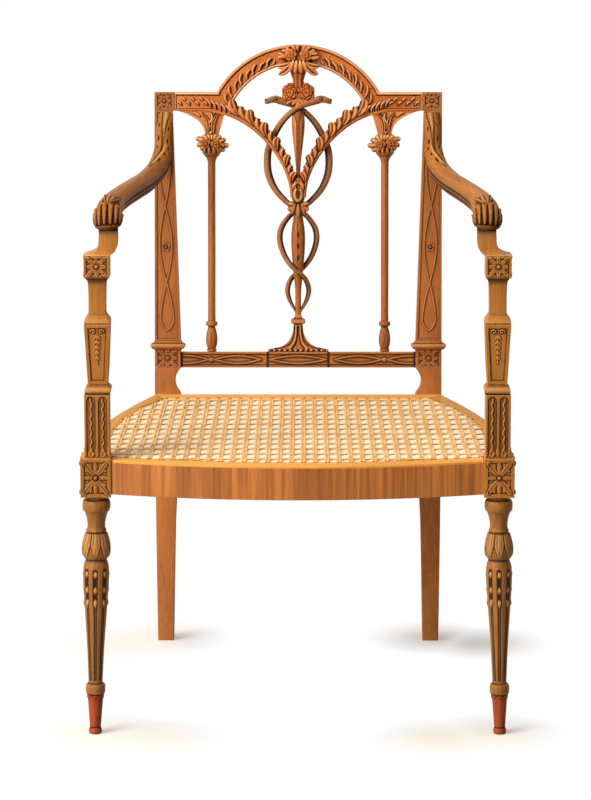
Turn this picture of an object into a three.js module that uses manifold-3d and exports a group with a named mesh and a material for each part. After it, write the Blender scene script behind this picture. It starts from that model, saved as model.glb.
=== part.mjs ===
import * as THREE from 'three';
import { mergeVertices } from 'three/addons/utils/BufferGeometryUtils.js';
import Module from 'manifold-3d';

const wasm = await Module();
wasm.setup();

// A square-back open armchair with a caned seat, in millimetres.
// X runs to the viewer's right, Y to the back and Z up.
// Y is 0 at the front face of the front posts until the last lines centre the chair.

// Driving sizes of the whole chair
const frontWidth = 598;
const backWidth = 425;
const seatHeight = 395;
const seatDepth = 450;
const backRise = 447;
const backThickness = 24;
const backRake = THREE.MathUtils.degToRad(9.1);
const clearance = 0.3;
const overrun = 5;

// Seat frame
const railHeight = 48;
const frontBow = 36;
const frontSetback = 3;
const frontBorder = 28;
const rearBorder = 30;
const caneLap = 9;
const caneThickness = 2;
const strandWidth = 5;
const caneColumns = 20;
const caneRows = 11;
const tenonLength = 17;
const tenonThickness = 10;
const tenonHeight = 30;
const mitreTongueShare = 0.67;
const cornerBlockLeg = 42;
const cornerBlockDrop = 10;
const sideOuterShares = [[1, 0], [1, 0.34], [0.72, 0.61], [0, 1]];
const sideInnerShares = [[1, 0], [1.19, 0.36], [1.11, 0.67], [0, 1]];
const innerFrontInset = 37;
const innerRearInset = 19.5;

// Front post: turned leg, square block and arm support in one stick
const frontBlock = 42;
const frontBlockHeight = 55;
const frontBlockRise = 3;
const legRadius = 18.75;
const legSplay = 5;
const legRootShare = 0.8;
const fluteCount = 8;
const fluteDepthShare = 0.13;
const legProfileShares = [
  [0.43, 0], [0.47, 0.006], [0.47, 0.024], [0.44, 0.028], [0.6, 0.165], [0.71, 0.186], [0.71, 0.204],
  [0.53, 0.216],
];
const legFluteShares = [[0.53, 0.226], [0.67, 0.39], [0.84, 0.53], [0.94, 0.6], [0.98, 0.65]];
const legNeckShares = [
  [0.97, 0.69], [0.89, 0.715], [0.775, 0.732], [0.93, 0.745], [1.02, 0.77], [0.94, 0.811], [0.76, 0.844],
  [0.66, 0.853], [0.73, 0.894], [0.85, 0.925], [1, 0.937], [1.04, 0.955], [1, 0.98], [0.8, 0.99],
];
const panelSink = 2;
const blockMargin = 5;
const supportWidth = 36.5;
const supportHeight = 313;
const supportInset = 4;
const supportLean = 16;
const supportFluteRadius = 4.5;
const supportFluteSpreadShare = 1.6;
const supportFluteMargin = 8;
// Height, inner edge and outer edge of the arm support, seen from the front
const supportFrontShares = [
  [0, -0.43, 0.52], [0.284, -0.43, 0.52], [0.288, -0.49, 0.5], [0.3, -0.49, 0.5], [0.32, -0.37, 0.37],
  [0.4, -0.42, 0.39], [0.49, -0.45, 0.45], [0.598, -0.49, 0.5], [0.612, -0.48, 0.49], [0.64, -0.33, 0.33],
  [0.72, -0.33, 0.32], [0.78, -0.36, 0.34], [0.806, -0.47, 0.46], [0.812, -0.48, 0.49],
  [0.901, -0.48, 0.49], [0.908, -0.57, 0.23], [0.922, -0.7, 0.03], [0.955, -0.79, -0.07],
  [1, -0.79, -0.09],
];
const supportSideShares = [
  [0, -0.47], [0.284, -0.47], [0.288, -0.5], [0.3, -0.5], [0.32, -0.38], [0.598, -0.49], [0.612, -0.48],
  [0.64, -0.35], [0.72, -0.34], [0.78, -0.36], [0.806, -0.47], [0.812, -0.49], [0.901, -0.49],
  [0.925, -0.4], [1, -0.38],
];

// Arms
const armRootInset = 18.5;
const armRootDrop = 31;
const armRootProud = 6;
const armWidth = 32;
const armPegRadius = 6;
const armPegLength = 22;
// Across from back to front, along from front to back, up from the support, then width and height
const armShares = [
  [0, 1, 1, 0.6, 0.22], [0.06, 0.982, 0.747, 0.76, 0.6], [0.08, 0.962, 0.442, 0.86, 0.84],
  [0.155, 0.91, 0.253, 0.95, 0.95], [0.39, 0.743, 0.147, 1, 0.98], [0.635, 0.526, 0.179, 1, 1],
  [0.82, 0.351, 0.216, 1.03, 1], [0.953, 0.175, 0.253, 1.08, 1.03], [1.008, 0.062, 0.24, 1.15, 1.05],
  [1.015, 0.004, 0.135, 1.14, 1], [1, 0, 0, 0.88, 0.88],
];
const armSteps = 24;
const armSides = 12;
const screwRadius = 2.5;
const screwHeadRadius = 5;
const screwHeadLength = 4;
const screwHeadSink = 6;
const screwBite = 14;
const screwDropShare = 0.86;

// Back posts
const postTopWidth = 26.6;
const postWaistWidth = 38.4;
const postNeckWidth = 30.5;
const postNeckShares = [0.38, 0.66];
const postLegWidth = 29.3;
const postFootWidth = 24;
const postTopDepth = 26;
const postSeatDepth = 34;
const postFootDepth = 28;
const postSplay = 63;
const cornerBlockHeight = 27;
const cornerBlockWidth = 29.5;
const capOverhang = 6.5;
const capHeight = 13;
const capLipShares = [0.2, 0.6];
const capRise = 66;

// Lower back rail
const lowerRailRise = 39.5;
const lowerRailHeight = 23;
const lowerRailSetback = 2;
const lowerRailDepth = 19;
const lowerFieldMargin = 3;
const lowerFieldSplit = 45;

// Crest rail with its arch
const archOuter = 138;
const archWidth = 28;
const archCentreRise = 379;
const crestEdgeShares = [[0.56, 0], [0.29, -0.08], [0, -0.3]];
const crestTenonLength = 16;
const crestTenonThickness = 9;
const crestTenonHeight = 17;
const fieldSink = 1.5;
const archFieldShare = 2.4;
const filletWidth = 4;

// Corbels, columns and their flower capitals
const columnSpacing = 256.5;
const columnRadius = 5.65;
const columnTopRise = 361;
const cupRadius = 14.1;
const cupHeight = 3;
const corbelNeck = 20;
const corbelSetback = 3;
const columnPegRadius = 4;
const columnPegLength = 12;
const capitalHeight = 22;
const capitalRadius = 26;
const capitalFlatShare = 0.6;
const capitalProfileShares = [[0.6, 0], [0.94, 0.08], [1, 0.3], [0.88, 0.62], [0.66, 0.84], [0.42, 1]];
const columnProfileShares = [
  [1.1, 0], [1.3, 0.015], [1.47, 0.054], [1.3, 0.1], [0.95, 0.126], [1.49, 0.132], [1.49, 0.148],
  [1, 0.156], [1, 0.93], [1.22, 0.958],
];
const columnSides = 14;

// Sweeping acanthus branches
const branchThickness = 10;
const branchSetback = 2;
const branchBand = 7;
const branchLeafTop = 14;
const branchLeafEnd = 5;
const branchLeaves = 10;
const branchEndLift = 8;
const branchEndHalf = 11.4;
const branchPullShares = [[0.484, 0.133], [-0.01, 0.605]];
const branchTenonLength = 10;

// Centre staff with its carved collar and its flared foot
const staffDepth = 11;
const staffTopRise = 420;
const staffRingRise = 104;
const staffRadius = 4.5;
// The staff in three lengths: ring to collar, collar and calyx, and the bud above the calyx
const staffFootShares = [
  [2.4, 0], [2.4, 0.046], [1.5, 0.056], [1, 0.14], [1, 0.32], [1.6, 0.493], [2.3, 0.79], [1.8, 0.92],
];
const staffBudShares = [[1.07, 0.03], [2.17, 0.62], [1.55, 1]];
const staffNeckShare = 1.05;
const staffCollarHeight = 21.5;
const staffCollarRadius = 15.8;
const staffCollarProfileShares = [[0.42, 0], [1, 0.2], [0.92, 0.5], [0.5, 1]];
const flatShare = 0.66;
const staffPegRadius = 3.5;
const staffPegLength = 14;
const footHalfTop = 6.8;
const footHalf = 45;
const footStrip = 4;
const footThickness = 13;
const footTenonLength = 8;
const footTenonHalf = 15;
const calyxRise = 283;
const calyxHeight = 39;
const calyxRadius = 9.4;
const calyxProfileShares = [[0.7, 0], [1.05, 0.16], [1.05, 0.4], [0.86, 0.5], [0.98, 0.8], [0.8, 1]];

// Entwined ribbons: across, up, depth of the front and of the rear strand, and width
const ribbonReach = 49.5;
const ribbonTopRise = 434.5;
const ribbonFootRise = 122.5;
const ribbonThickness = 6;
const ribbonWidth = 10.5;
const ribbonSteps = 44;
const ribbonSides = 8;
const ribbonShares = [
  [1, 0.995, 6, 6, 0.42], [0.8, 1, 6, 6, 0.85], [0.59, 1.001, 6, 7, 1.05], [0.38, 0.99, 5, 8.5, 0.9],
  [0.2, 0.982, 4.5, 11, 0.86], [0.05, 0.974, 4.5, 14.5, 0.8], [-0.218, 0.943, 6, 15, 0.8],
  [-0.517, 0.892, 12, 16, 0.84], [-0.8, 0.81, 18, 18, 0.95], [-0.909, 0.75, 16, 16, 1],
  [-0.907, 0.671, 13, 13, 1], [-0.826, 0.624, 12, 12, 0.95], [-0.673, 0.577, 10.5, 13, 0.86],
  [-0.36, 0.522, 7, 16, 0.76], [0, 0.48, 3.3, 18.7, 0.67], [0.2, 0.461, 4, 18, 0.67],
  [0.39, 0.427, 9, 13, 0.72], [0.52, 0.389, 11, 11, 0.8], [0.55, 0.343, 11, 11, 0.8],
  [0.485, 0.296, 12.5, 9.5, 0.78], [0.35, 0.249, 16, 6, 0.72], [0.16, 0.21, 20, 2, 0.67],
  [0, 0.188, 20.6, 1.4, 0.67], [-0.1, 0.173, 20, 2, 0.67], [-0.234, 0.148, 15, 7, 0.67],
  [-0.317, 0.105, 11, 11, 0.7], [-0.277, 0.061, 11, 11, 0.62], [-0.138, 0.008, 11, 11, 0.43],
];

// Crown flower with its bell, and the two roses under it
const crownFlowerRadius = 22;
const crownFlowerStretchShare = 1.28;
const crownFlowerThickness = 7;
const crownFlowerRise = 497;
const crownProfileShares = [[0.9, 0], [1, 0.3], [0.55, 0.8], [0.2, 1]];
const bellHeight = 28.5;
const bellTopHalf = 13;
const bellFootHalf = 7;
const bellDepth = 13;
// The two leaves that droop from the bell: reach and drop below the bell's top
const bellLeafShares = [[1, 0.45], [1.55, 0.33], [1.95, 0.52], [2.15, 0.3], [1.75, 0]];
const roseRadius = 13.6;
const roseStretchShare = 1.14;
const roseThickness = 15;
const roseRise = 445.5;
const roseProfileShares = [[0.55, 0], [1, 0.25], [0.95, 0.5], [0.7, 0.8], [0.35, 1]];
const petalCount = 8;
const petalDepthShare = 0.1;

// Places worked out from the driving sizes
const blockCentreX = frontWidth / 2 - frontBlock / 2;
const blockInnerX = frontWidth / 2 - frontBlock;
const blockCentreY = frontBlock / 2;
const blockTop = seatHeight + frontBlockRise;
const legHeight = blockTop - frontBlockHeight;
const supportX = blockCentreX - supportInset;
const supportTop = blockTop + supportHeight;
const supportTopX = supportX - supportLean;
const postOuter = backWidth / 2;
const railBottom = seatHeight - railHeight;
const cornerBlockRise = backRise - cornerBlockHeight;
const columnX = columnSpacing / 2;
const columnY = backThickness / 2;
const archInner = archOuter - archWidth;
const crestHalf = postOuter - cornerBlockWidth - clearance;
const archFootRise = cornerBlockRise + crestEdgeShares[2][1] * cornerBlockHeight;
const archLow = Math.asin((archFootRise - archCentreRise) / archInner);
const archFootHalf = archInner * Math.cos(archLow);
const lowerRailTop = lowerRailRise + lowerRailHeight;
const caneFloor = seatHeight - caneThickness - clearance;
const staffCollarTop = calyxRise - clearance;
const staffCollarRise = staffCollarTop - staffCollarHeight;
const calyxTop = calyxRise + calyxHeight;
const branchEndRise = calyxRise + branchEndLift;
const rearRailFront = seatDepth - rearBorder;

const backPlace = new THREE.Matrix4().makeRotationX(-backRake).setPosition(0, seatDepth, seatHeight);
const intoBack = backPlace.clone().invert();

// Solids: a geometry becomes a closed body that can be joined and cut
const solidOf = (geometry) => {
  const bare = new THREE.BufferGeometry();
  bare.setAttribute('position', geometry.getAttribute('position'));
  bare.setIndex(geometry.index);
  const merged = mergeVertices(bare);
  const places = merged.getAttribute('position').array;
  const faces = [];
  let volume = 0;
  const [a, b, c] = [new THREE.Vector3(), new THREE.Vector3(), new THREE.Vector3()];
  for (let i = 0; i < merged.index.count; i += 3) {
    const corners = [0, 1, 2].map((step) => merged.index.getX(i + step));
    if (new Set(corners).size === 3) {
      faces.push(corners);
      [a, b, c].forEach((point, step) => point.fromArray(places, 3 * corners[step]));
      volume += a.dot(b.cross(c));
    }
  }
  const triangles = volume < 0 ? faces.map(([p, q, r]) => [p, r, q]) : faces;
  return new wasm.Manifold(new wasm.Mesh({
    numProp: 3,
    vertProperties: new Float32Array(places),
    triVerts: new Uint32Array(triangles.flat()),
  }));
};

const geometryOf = (solid) => {
  const { vertProperties, triVerts } = solid.getMesh();
  const geometry = new THREE.BufferGeometry();
  geometry.setAttribute('position', new THREE.Float32BufferAttribute(vertProperties, 3));
  geometry.setIndex(new THREE.Uint32BufferAttribute(triVerts, 1));
  return geometry;
};

const mirrored = (solid) => solidOf(geometryOf(solid).scale(-1, 1, 1));
const shifted = (solid, x, y, z) => solidOf(geometryOf(solid).translate(x, y, z));
const joined = (solids) => solids.reduce((sum, solid) => sum.add(solid));
const cut = (solid, cutters) => cutters.reduce((rest, cutter) => rest.subtract(cutter), solid);

// Basic forms
const boxOf = ([x0, x1], [y0, y1], [z0, z1]) => {
  const box = new THREE.BoxGeometry(x1 - x0, y1 - y0, z1 - z0);
  return box.translate((x0 + x1) / 2, (y0 + y1) / 2, (z0 + z1) / 2);
};
const block = (x, y, z) => solidOf(boxOf(x, y, z));
const pair = (solid) => [solid, mirrored(solid)];
const outlineOf = (points) => new THREE.Shape(points.map(([x, y]) => new THREE.Vector2(x, y)));
const extruded = (shape, depth, curveSegments) => (
  new THREE.ExtrudeGeometry(shape, { depth, bevelEnabled: false, curveSegments, steps: 1 })
);
const arcSegments = 12;
const frontPlate = (shape, y0, y1, segments = arcSegments) => (
  solidOf(extruded(shape, y1 - y0, segments).rotateX(Math.PI / 2).translate(0, y1, 0))
);
const planSlab = (shape, z0, z1) => solidOf(extruded(shape, z1 - z0, arcSegments).translate(0, 0, z0));
const sideTurn = new THREE.Matrix4().makeBasis(
  new THREE.Vector3(0, 1, 0),
  new THREE.Vector3(0, 0, 1),
  new THREE.Vector3(1, 0, 0),
);
const sidePlateGeometry = (shape, x0, x1) => (
  extruded(shape, x1 - x0, arcSegments).applyMatrix4(sideTurn).translate(x0, 0, 0)
);

// A closed body stretched over rings of points, each with a fan at the two ends
const skin = (rings) => {
  const count = rings[0].length;
  const places = rings.flat();
  const faces = [];
  for (let r = 0; r + 1 < rings.length; r += 1) {
    for (let i = 0; i < count; i += 1) {
      const [a, b] = [r * count + i, r * count + ((i + 1) % count)];
      faces.push([a, b, a + count], [b, b + count, a + count]);
    }
  }
  [0, rings.length - 1].forEach((r) => {
    const centre = new THREE.Vector3();
    rings[r].forEach((point) => centre.addScaledVector(point, 1 / count));
    const hub = places.push(centre) - 1;
    for (let i = 0; i < count; i += 1) {
      const [a, b] = [r * count + i, r * count + ((i + 1) % count)];
      faces.push(r === 0 ? [b, a, hub] : [a, b, hub]);
    }
  });
  const geometry = new THREE.BufferGeometry().setFromPoints(places);
  geometry.setIndex(faces.flat());
  return solidOf(geometry);
};

// An upright turned or lobed body: each row holds a radius and a height
const turned = (rows, [x, y], { sides = 12, flatten = 1, lobe = () => 1 } = {}) => skin(
  rows.map(([radius, height], row) => Array.from({ length: sides }, (_, side) => {
    const angle = (2 * Math.PI * side) / sides;
    const reach = radius * lobe(side, row);
    return new THREE.Vector3(x + reach * Math.cos(angle), y + reach * flatten * Math.sin(angle), height);
  })),
);
const rowsOf = (shares, radius, foot, height) => shares.map(([r, h]) => [r * radius, foot + h * height]);
const pegSides = 10;
const peg = (radius, place, foot, top) => (
  turned([[radius, foot], [radius, top]], place, { sides: pegSides })
);
const petals = (side) => 1 - (side % 2) * 2 * petalDepthShare;

// A body of oval section along a curve; the section's width lies across the given axis
const swept = (curve, steps, sides, across, sizeAt) => skin(
  Array.from({ length: steps + 1 }, (_, step) => {
    const share = step / steps;
    const centre = curve.getPoint(share);
    const along = curve.getTangent(share);
    const wide = new THREE.Vector3().crossVectors(along, across).normalize();
    const deep = new THREE.Vector3().crossVectors(wide, along).normalize();
    const [width, depth] = sizeAt(share);
    return Array.from({ length: sides }, (__, side) => {
      const angle = (2 * Math.PI * side) / sides;
      return centre.clone()
        .addScaledVector(wide, (width / 2) * Math.cos(angle))
        .addScaledVector(deep, (depth / 2) * Math.sin(angle));
    });
  }),
);
const between = (values, share) => {
  const place = share * (values.length - 1);
  const low = Math.min(Math.floor(place), values.length - 2);
  return THREE.MathUtils.lerp(values[low], values[low + 1], place - low);
};

// Seat plan: outer and inner edge of a side rail, and the bowed edge of the front rail
const bezierPoints = (shares, start, end, count) => {
  const place = ([across, along]) => new THREE.Vector2(
    THREE.MathUtils.lerp(end[0], start[0], across),
    THREE.MathUtils.lerp(start[1], end[1], along),
  );
  const curve = new THREE.CubicBezierCurve(...shares.map(place));
  return curve.getPoints(count).map(({ x, y }) => [x, y]);
};
const curveCount = 14;
const sideOuter = bezierPoints(
  sideOuterShares, [frontWidth / 2, frontBlock], [postOuter, seatDepth], curveCount,
);
const innerFront = [frontWidth / 2 - innerFrontInset, frontSetback + frontBorder];
const innerRear = [postOuter - innerRearInset, rearRailFront];
const sideInner = (inset) => bezierPoints(
  sideInnerShares, [innerFront[0] - inset, innerFront[1]], [innerRear[0] - inset, innerRear[1]], curveCount,
);
const bowRadius = (blockInnerX ** 2 + frontBow ** 2) / (2 * frontBow);
const bowAt = (x) => frontSetback - Math.sqrt(bowRadius ** 2 - x ** 2) + bowRadius - frontBow;
const bowPoints = (half, offset) => Array.from({ length: curveCount + 1 }, (_, i) => {
  const x = half * ((2 * i) / curveCount - 1);
  return [x, bowAt(x) + offset];
});
const mitreSlope = innerRearInset / rearBorder;
const mitreAt = (y) => postOuter - (seatDepth - y) * mitreSlope;

const frontPostSquare = (grow) => [
  [blockInnerX - grow, frontWidth / 2 + grow],
  [-grow, frontBlock + grow],
];

const frontRailPlan = (grow) => outlineOf([
  ...bowPoints(blockInnerX - clearance, -grow),
  ...bowPoints(blockInnerX - clearance, frontBorder + caneLap + grow).reverse(),
]);
const sideRailPlan = (grow) => {
  const inner = sideInner(caneLap + grow).map(([x, y]) => [x, Math.max(y, frontBlock + clearance)]);
  const lastInner = inner[inner.length - 1];
  return outlineOf([
    [frontWidth / 2, frontBlock + clearance],
    ...sideOuter.slice(1),
    [lastInner[0] - (seatDepth - lastInner[1]) * mitreSlope, seatDepth],
    ...inner.reverse().filter(([, y], i, all) => i === all.length - 1 || y > frontBlock + clearance),
  ]);
};
const rearRailPlan = (grow) => {
  const front = rearRailFront - caneLap - grow;
  const rear = seatDepth - clearance;
  return outlineOf([
    [-mitreAt(front) - grow, front], [mitreAt(front) + grow, front],
    [mitreAt(rear) + grow, rear], [-mitreAt(rear) - grow, rear],
  ]);
};

// The caned field: inside the two inner edges, behind the bow and in front of the rear border
const canePlan = (grow) => {
  const right = sideInner(-grow).map(([x, y]) => [x, y]);
  const far = right[right.length - 1];
  const near = right[0];
  return outlineOf([
    [near[0], near[1] - frontBow - overrun], ...right, [far[0], far[1] + overrun],
    [-far[0], far[1] + overrun], ...right.map(([x, y]) => [-x, y]).reverse(),
    [-near[0], near[1] - frontBow - overrun],
  ]);
};
const caneBand = (grow) => outlineOf([
  ...bowPoints(frontWidth / 2, frontBorder - grow),
  [frontWidth / 2, rearRailFront + grow],
  [-frontWidth / 2, rearRailFront + grow],
]);
const caneField = (grow, z0, z1) => (
  planSlab(canePlan(grow), z0, z1).intersect(planSlab(caneBand(grow), z0, z1))
);

// Tenons of the seat frame, and with a clearance the mortises that take them
const tenonZ = (grow) => {
  const middle = railBottom + railHeight / 2 - caneThickness;
  return [middle - tenonHeight / 2 - grow, middle + tenonHeight / 2 + grow];
};
const frontTenon = (grow) => block(
  [blockInnerX - overrun, blockInnerX + tenonLength + grow],
  [blockCentreY - tenonThickness - grow, blockCentreY + grow],
  tenonZ(grow),
);
const sideTenon = (grow) => block(
  [frontWidth / 2 - tenonThickness * 2 - grow, frontWidth / 2 - tenonThickness + grow],
  [frontBlock - tenonLength - grow, frontBlock + overrun],
  tenonZ(grow),
);
const rearTenonGeometry = (grow) => boxOf(
  [postOuter - postNeckWidth - grow, postOuter - tenonThickness + grow],
  [seatDepth - overrun, seatDepth + tenonLength + grow],
  tenonZ(grow),
);
const mitreTongue = (grow) => {
  const angle = Math.atan(mitreSlope);
  const middle = seatDepth - rearBorder * mitreTongueShare;
  const tongue = boxOf(
    [-tenonLength / 2 - grow, tenonLength / 2],
    [-tenonThickness / 2 - grow, tenonThickness / 2 + grow],
    tenonZ(grow),
  );
  return solidOf(tongue.rotateZ(-angle).translate(mitreAt(middle), middle, 0));
};

// Front rail, side rails, rear rail and the caned panel
const canePocket = caneField(clearance, caneFloor, seatHeight + overrun);
const frontRail = joined([
  planSlab(frontRailPlan(0), railBottom, seatHeight),
  frontTenon(0),
  mirrored(frontTenon(0)),
]).subtract(canePocket);

const rearRail = cut(
  joined([
    planSlab(rearRailPlan(0), railBottom, seatHeight),
    solidOf(rearTenonGeometry(0)),
    mirrored(solidOf(rearTenonGeometry(0))),
  ]),
  [canePocket, mitreTongue(clearance), mirrored(mitreTongue(clearance))],
);

const sideRailBody = cut(planSlab(sideRailPlan(0), railBottom, seatHeight), [
  planSlab(rearRailPlan(clearance), railBottom - overrun, seatHeight + overrun),
  block(
    [0, frontWidth],
    [seatDepth - clearance, seatDepth + overrun],
    [railBottom - overrun, seatHeight + overrun],
  ),
]);
const sideRail = joined([sideRailBody, sideTenon(0), mitreTongue(0)]).subtract(canePocket);

// The gaps stay clear of the blocks and of the border by one strand
const frontBlockCutters = pair(block(...frontPostSquare(clearance), [legHeight, blockTop]));
const canePanel = (() => {
  const field = cut(caneField(0, seatHeight - caneThickness, seatHeight), frontBlockCutters);
  const inner = sideInner(strandWidth);
  const halfAt = (y) => {
    const next = inner.findIndex(([, edge]) => edge >= y);
    if (next <= 0) return next === 0 ? blockInnerX - strandWidth : 0;
    const [[x0, y0], [x1, y1]] = [inner[next - 1], inner[next]];
    const edge = THREE.MathUtils.mapLinear(y, y0, y1, x0, x1);
    return y < frontBlock + strandWidth ? Math.min(edge, blockInnerX - strandWidth) : edge;
  };
  const columnPitch = (2 * innerFront[0]) / caneColumns;
  const rowFront = bowAt(0) + frontBorder + strandWidth;
  const rowPitch = (rearRailFront - rowFront) / caneRows;
  const depth = caneThickness + 2 * clearance;
  const gaps = [];
  for (let row = 0; row < caneRows; row += 1) {
    for (let column = 0; column < caneColumns; column += 1) {
      const x = (column + 1 / 2 - caneColumns / 2) * columnPitch;
      const border = bowAt(Math.abs(x) + columnPitch / 2) + frontBorder + strandWidth;
      const front = Math.max(rowFront + row * rowPitch, border);
      const rear = rowFront + (row + 1) * rowPitch - strandWidth;
      const reach = Math.abs(x) + (columnPitch - strandWidth) / 2;
      if (rear - front > strandWidth && reach < Math.min(halfAt(front), halfAt(rear))) {
        gaps.push(boxOf(
          [x - (columnPitch - strandWidth) / 2, x + (columnPitch - strandWidth) / 2],
          [front, rear],
          [seatHeight - depth, seatHeight + depth],
        ));
      }
    }
  }
  return cut(field, gaps.map(solidOf));
})();

// Glue blocks inside the four corners of the seat frame
const cornerBlockZ = [railBottom + cornerBlockDrop, caneFloor - cornerBlockDrop];
const glueBlock = (x, y, turn) => {
  const triangle = outlineOf([
    [x + caneLap, y - turn * caneLap],
    [x - cornerBlockLeg, y - turn * caneLap],
    [x + caneLap, y + turn * cornerBlockLeg],
  ]);
  return cut(planSlab(triangle, ...cornerBlockZ), [
    planSlab(frontRailPlan(clearance), railBottom, seatHeight),
    planSlab(sideRailPlan(clearance), railBottom, seatHeight),
    planSlab(rearRailPlan(clearance), railBottom, seatHeight),
    frontBlockCutters[0],
  ]);
};
const frontGlueBlock = glueBlock(sideInner(caneLap)[1][0], frontBlock, 1);
const rearGlueBlock = glueBlock(mitreAt(rearRailFront - caneLap), rearRailFront - caneLap, -1);

// Front post
const legFlutes = (side) => (side % 3 === 0 ? 1 : 1 - fluteDepthShare);
const legRows = (shares) => rowsOf(shares, legRadius, 0, legHeight);
const legPlace = [blockCentreX, blockCentreY];
const legSides = fluteCount * 3;
const legBody = turned(
  [
    ...legRows(legProfileShares),
    ...legRows(legFluteShares),
    ...legRows(legNeckShares),
    [legRadius * legRootShare, legHeight + overrun],
  ],
  legPlace,
  {
    sides: legSides,
    lobe: (side, row) => {
      const flute = row - legProfileShares.length;
      const fluted = flute > 0 && flute < legFluteShares.length - 1;
      return fluted ? legFlutes(side) : 1;
    },
  },
);
// The leg leans outwards, with its foot still flat on the floor
const legLean = new THREE.Matrix4().makeShear(0, 0, 0, 0, -legSplay / legHeight, 0)
  .setPosition(legSplay, 0, 0);
const leg = solidOf(geometryOf(legBody).applyMatrix4(legLean));
const frontBlockBody = block(
  [blockInnerX, frontWidth / 2],
  [0, frontBlock],
  [legHeight, blockTop],
);
const panelZ = [legHeight + blockMargin, blockTop - blockMargin];
const frontPanelCut = block(
  [blockInnerX + blockMargin, frontWidth / 2 - blockMargin],
  [-overrun, panelSink],
  panelZ,
);
const outerPanelCut = block(
  [frontWidth / 2 - panelSink, frontWidth / 2 + overrun],
  [blockMargin, frontBlock - blockMargin],
  panelZ,
);
const supportEdge = (middle, across, up) => [middle + across * supportWidth, blockTop + up * supportHeight];
const supportFrontShape = outlineOf([
  ...supportFrontShares.map(([up, inner]) => supportEdge(supportX, inner, up)),
  ...supportFrontShares.map(([up, , outer]) => supportEdge(supportX, outer, up)).reverse(),
]);
const supportSideShape = outlineOf([
  ...supportSideShares.map(([up, front]) => supportEdge(blockCentreY, front, up)),
  ...supportSideShares.map(([up, front]) => supportEdge(blockCentreY, -front, up)).reverse(),
]);
const supportBody = frontPlate(supportFrontShape, -overrun, frontBlock + overrun)
  .intersect(solidOf(sidePlateGeometry(supportSideShape, 0, frontWidth)));
const fluteCapSegments = 2;
const fluteSegments = 8;
const supportFlute = (place, [x, y]) => {
  const top = blockTop + supportFrontShares[1][0] * supportHeight - supportFluteMargin;
  const foot = blockTop + supportFluteMargin;
  const length = top - foot - 2 * supportFluteRadius;
  const capsule = new THREE.CapsuleGeometry(supportFluteRadius, length, fluteCapSegments, fluteSegments);
  const upright = capsule.rotateX(Math.PI / 2);
  return solidOf(upright.translate(x + place[0], y + place[1], (foot + top) / 2));
};
const supportFace = supportFrontShares[0][2] * supportWidth;
const reedMiddle = supportX + ((supportFrontShares[0][1] + supportFrontShares[0][2]) / 2) * supportWidth;
const supportFlutes = [-1, 1].flatMap((turn) => {
  const step = turn * supportFluteRadius * supportFluteSpreadShare;
  return [
    supportFlute([reedMiddle, blockCentreY + supportSideShares[0][1] * supportWidth], [step, 0]),
    supportFlute([supportX + supportFace, blockCentreY], [0, step]),
  ];
});
const armPeg = (grow) => peg(
  armPegRadius + grow, [supportTopX, blockCentreY], supportTop - overrun, supportTop + armPegLength + grow,
);
const frontPost = cut(
  joined([
    leg,
    frontBlockBody,
    supportBody,
    armPeg(0),
  ]),
  [
    frontPanelCut,
    outerPanelCut,
    frontTenon(clearance),
    sideTenon(clearance),
    ...supportFlutes,
  ],
);

// Back post in the frame of the back: X, depth behind the front face, rise up the slope
const besideSeat = ([depth, rise]) => {
  const place = new THREE.Vector3(0, depth, rise).applyMatrix4(backPlace);
  return [place.y, place.z];
};
const postFrontShape = outlineOf([
  [postOuter - postFootWidth, -seatHeight - postSplay], [postOuter - postLegWidth, -seatHeight / 2],
  [postOuter - postWaistWidth, -railHeight], [postOuter - postWaistWidth, 0],
  ...postNeckShares.map((share) => [postOuter - postNeckWidth, lowerRailRise * share]),
  [postOuter - postWaistWidth + panelSink, lowerRailRise], [postOuter - postWaistWidth, lowerRailRise],
  [postOuter - postWaistWidth, capRise],
  ...capLipShares.map((share) => [postOuter - postWaistWidth - capOverhang, capRise + capHeight * share]),
  [postOuter - postWaistWidth, capRise + capHeight],
  [postOuter - postTopWidth, cornerBlockRise], [postOuter - cornerBlockWidth, cornerBlockRise],
  [postOuter - cornerBlockWidth, backRise], [postOuter, backRise],
  [postOuter, capRise + capHeight],
  ...capLipShares.map((share) => [postOuter + capOverhang, capRise + capHeight * share]).reverse(),
  [postOuter, capRise],
  [postOuter, -seatHeight - postSplay],
]);
const postSideShape = (() => {
  const shape = new THREE.Shape();
  shape.moveTo(seatDepth + postSplay, 0);
  shape.quadraticCurveTo(seatDepth, seatHeight / 2, seatDepth, seatHeight);
  [
    [0, capRise],
    ...capLipShares.map((share) => [-capOverhang, capRise + capHeight * share]),
    [0, capRise + capHeight], [0, backRise + overrun], [postTopDepth, backRise + overrun],
  ].forEach((point) => shape.lineTo(...besideSeat(point)));
  shape.lineTo(...besideSeat([postSeatDepth, 0]));
  shape.quadraticCurveTo(
    seatDepth + postSeatDepth,
    seatHeight / 2,
    seatDepth + postSplay + postFootDepth,
    0,
  );
  return shape;
})();
const screwRise = cornerBlockRise * screwDropShare;
const screwPlace = postOuter - postTopWidth / 2;
const screwGeometry = (radius, y0, y1) => {
  const rod = new THREE.CylinderGeometry(radius, radius, y1 - y0, pegSides);
  return rod.translate(screwPlace, (y0 + y1) / 2, screwRise);
};
const postBackAt = THREE.MathUtils.lerp(postSeatDepth, postTopDepth, screwRise / backRise);
const headFloor = postBackAt - screwHeadSink;
const screwHole = [
  screwGeometry(screwRadius + clearance, -screwBite - clearance, headFloor + clearance),
  screwGeometry(screwHeadRadius + clearance, headFloor - clearance, postBackAt + overrun),
];
const armScrew = joined([
  solidOf(screwGeometry(screwRadius, -screwBite, headFloor + clearance)),
  solidOf(screwGeometry(screwHeadRadius, headFloor, headFloor + screwHeadLength)),
]);
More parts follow.
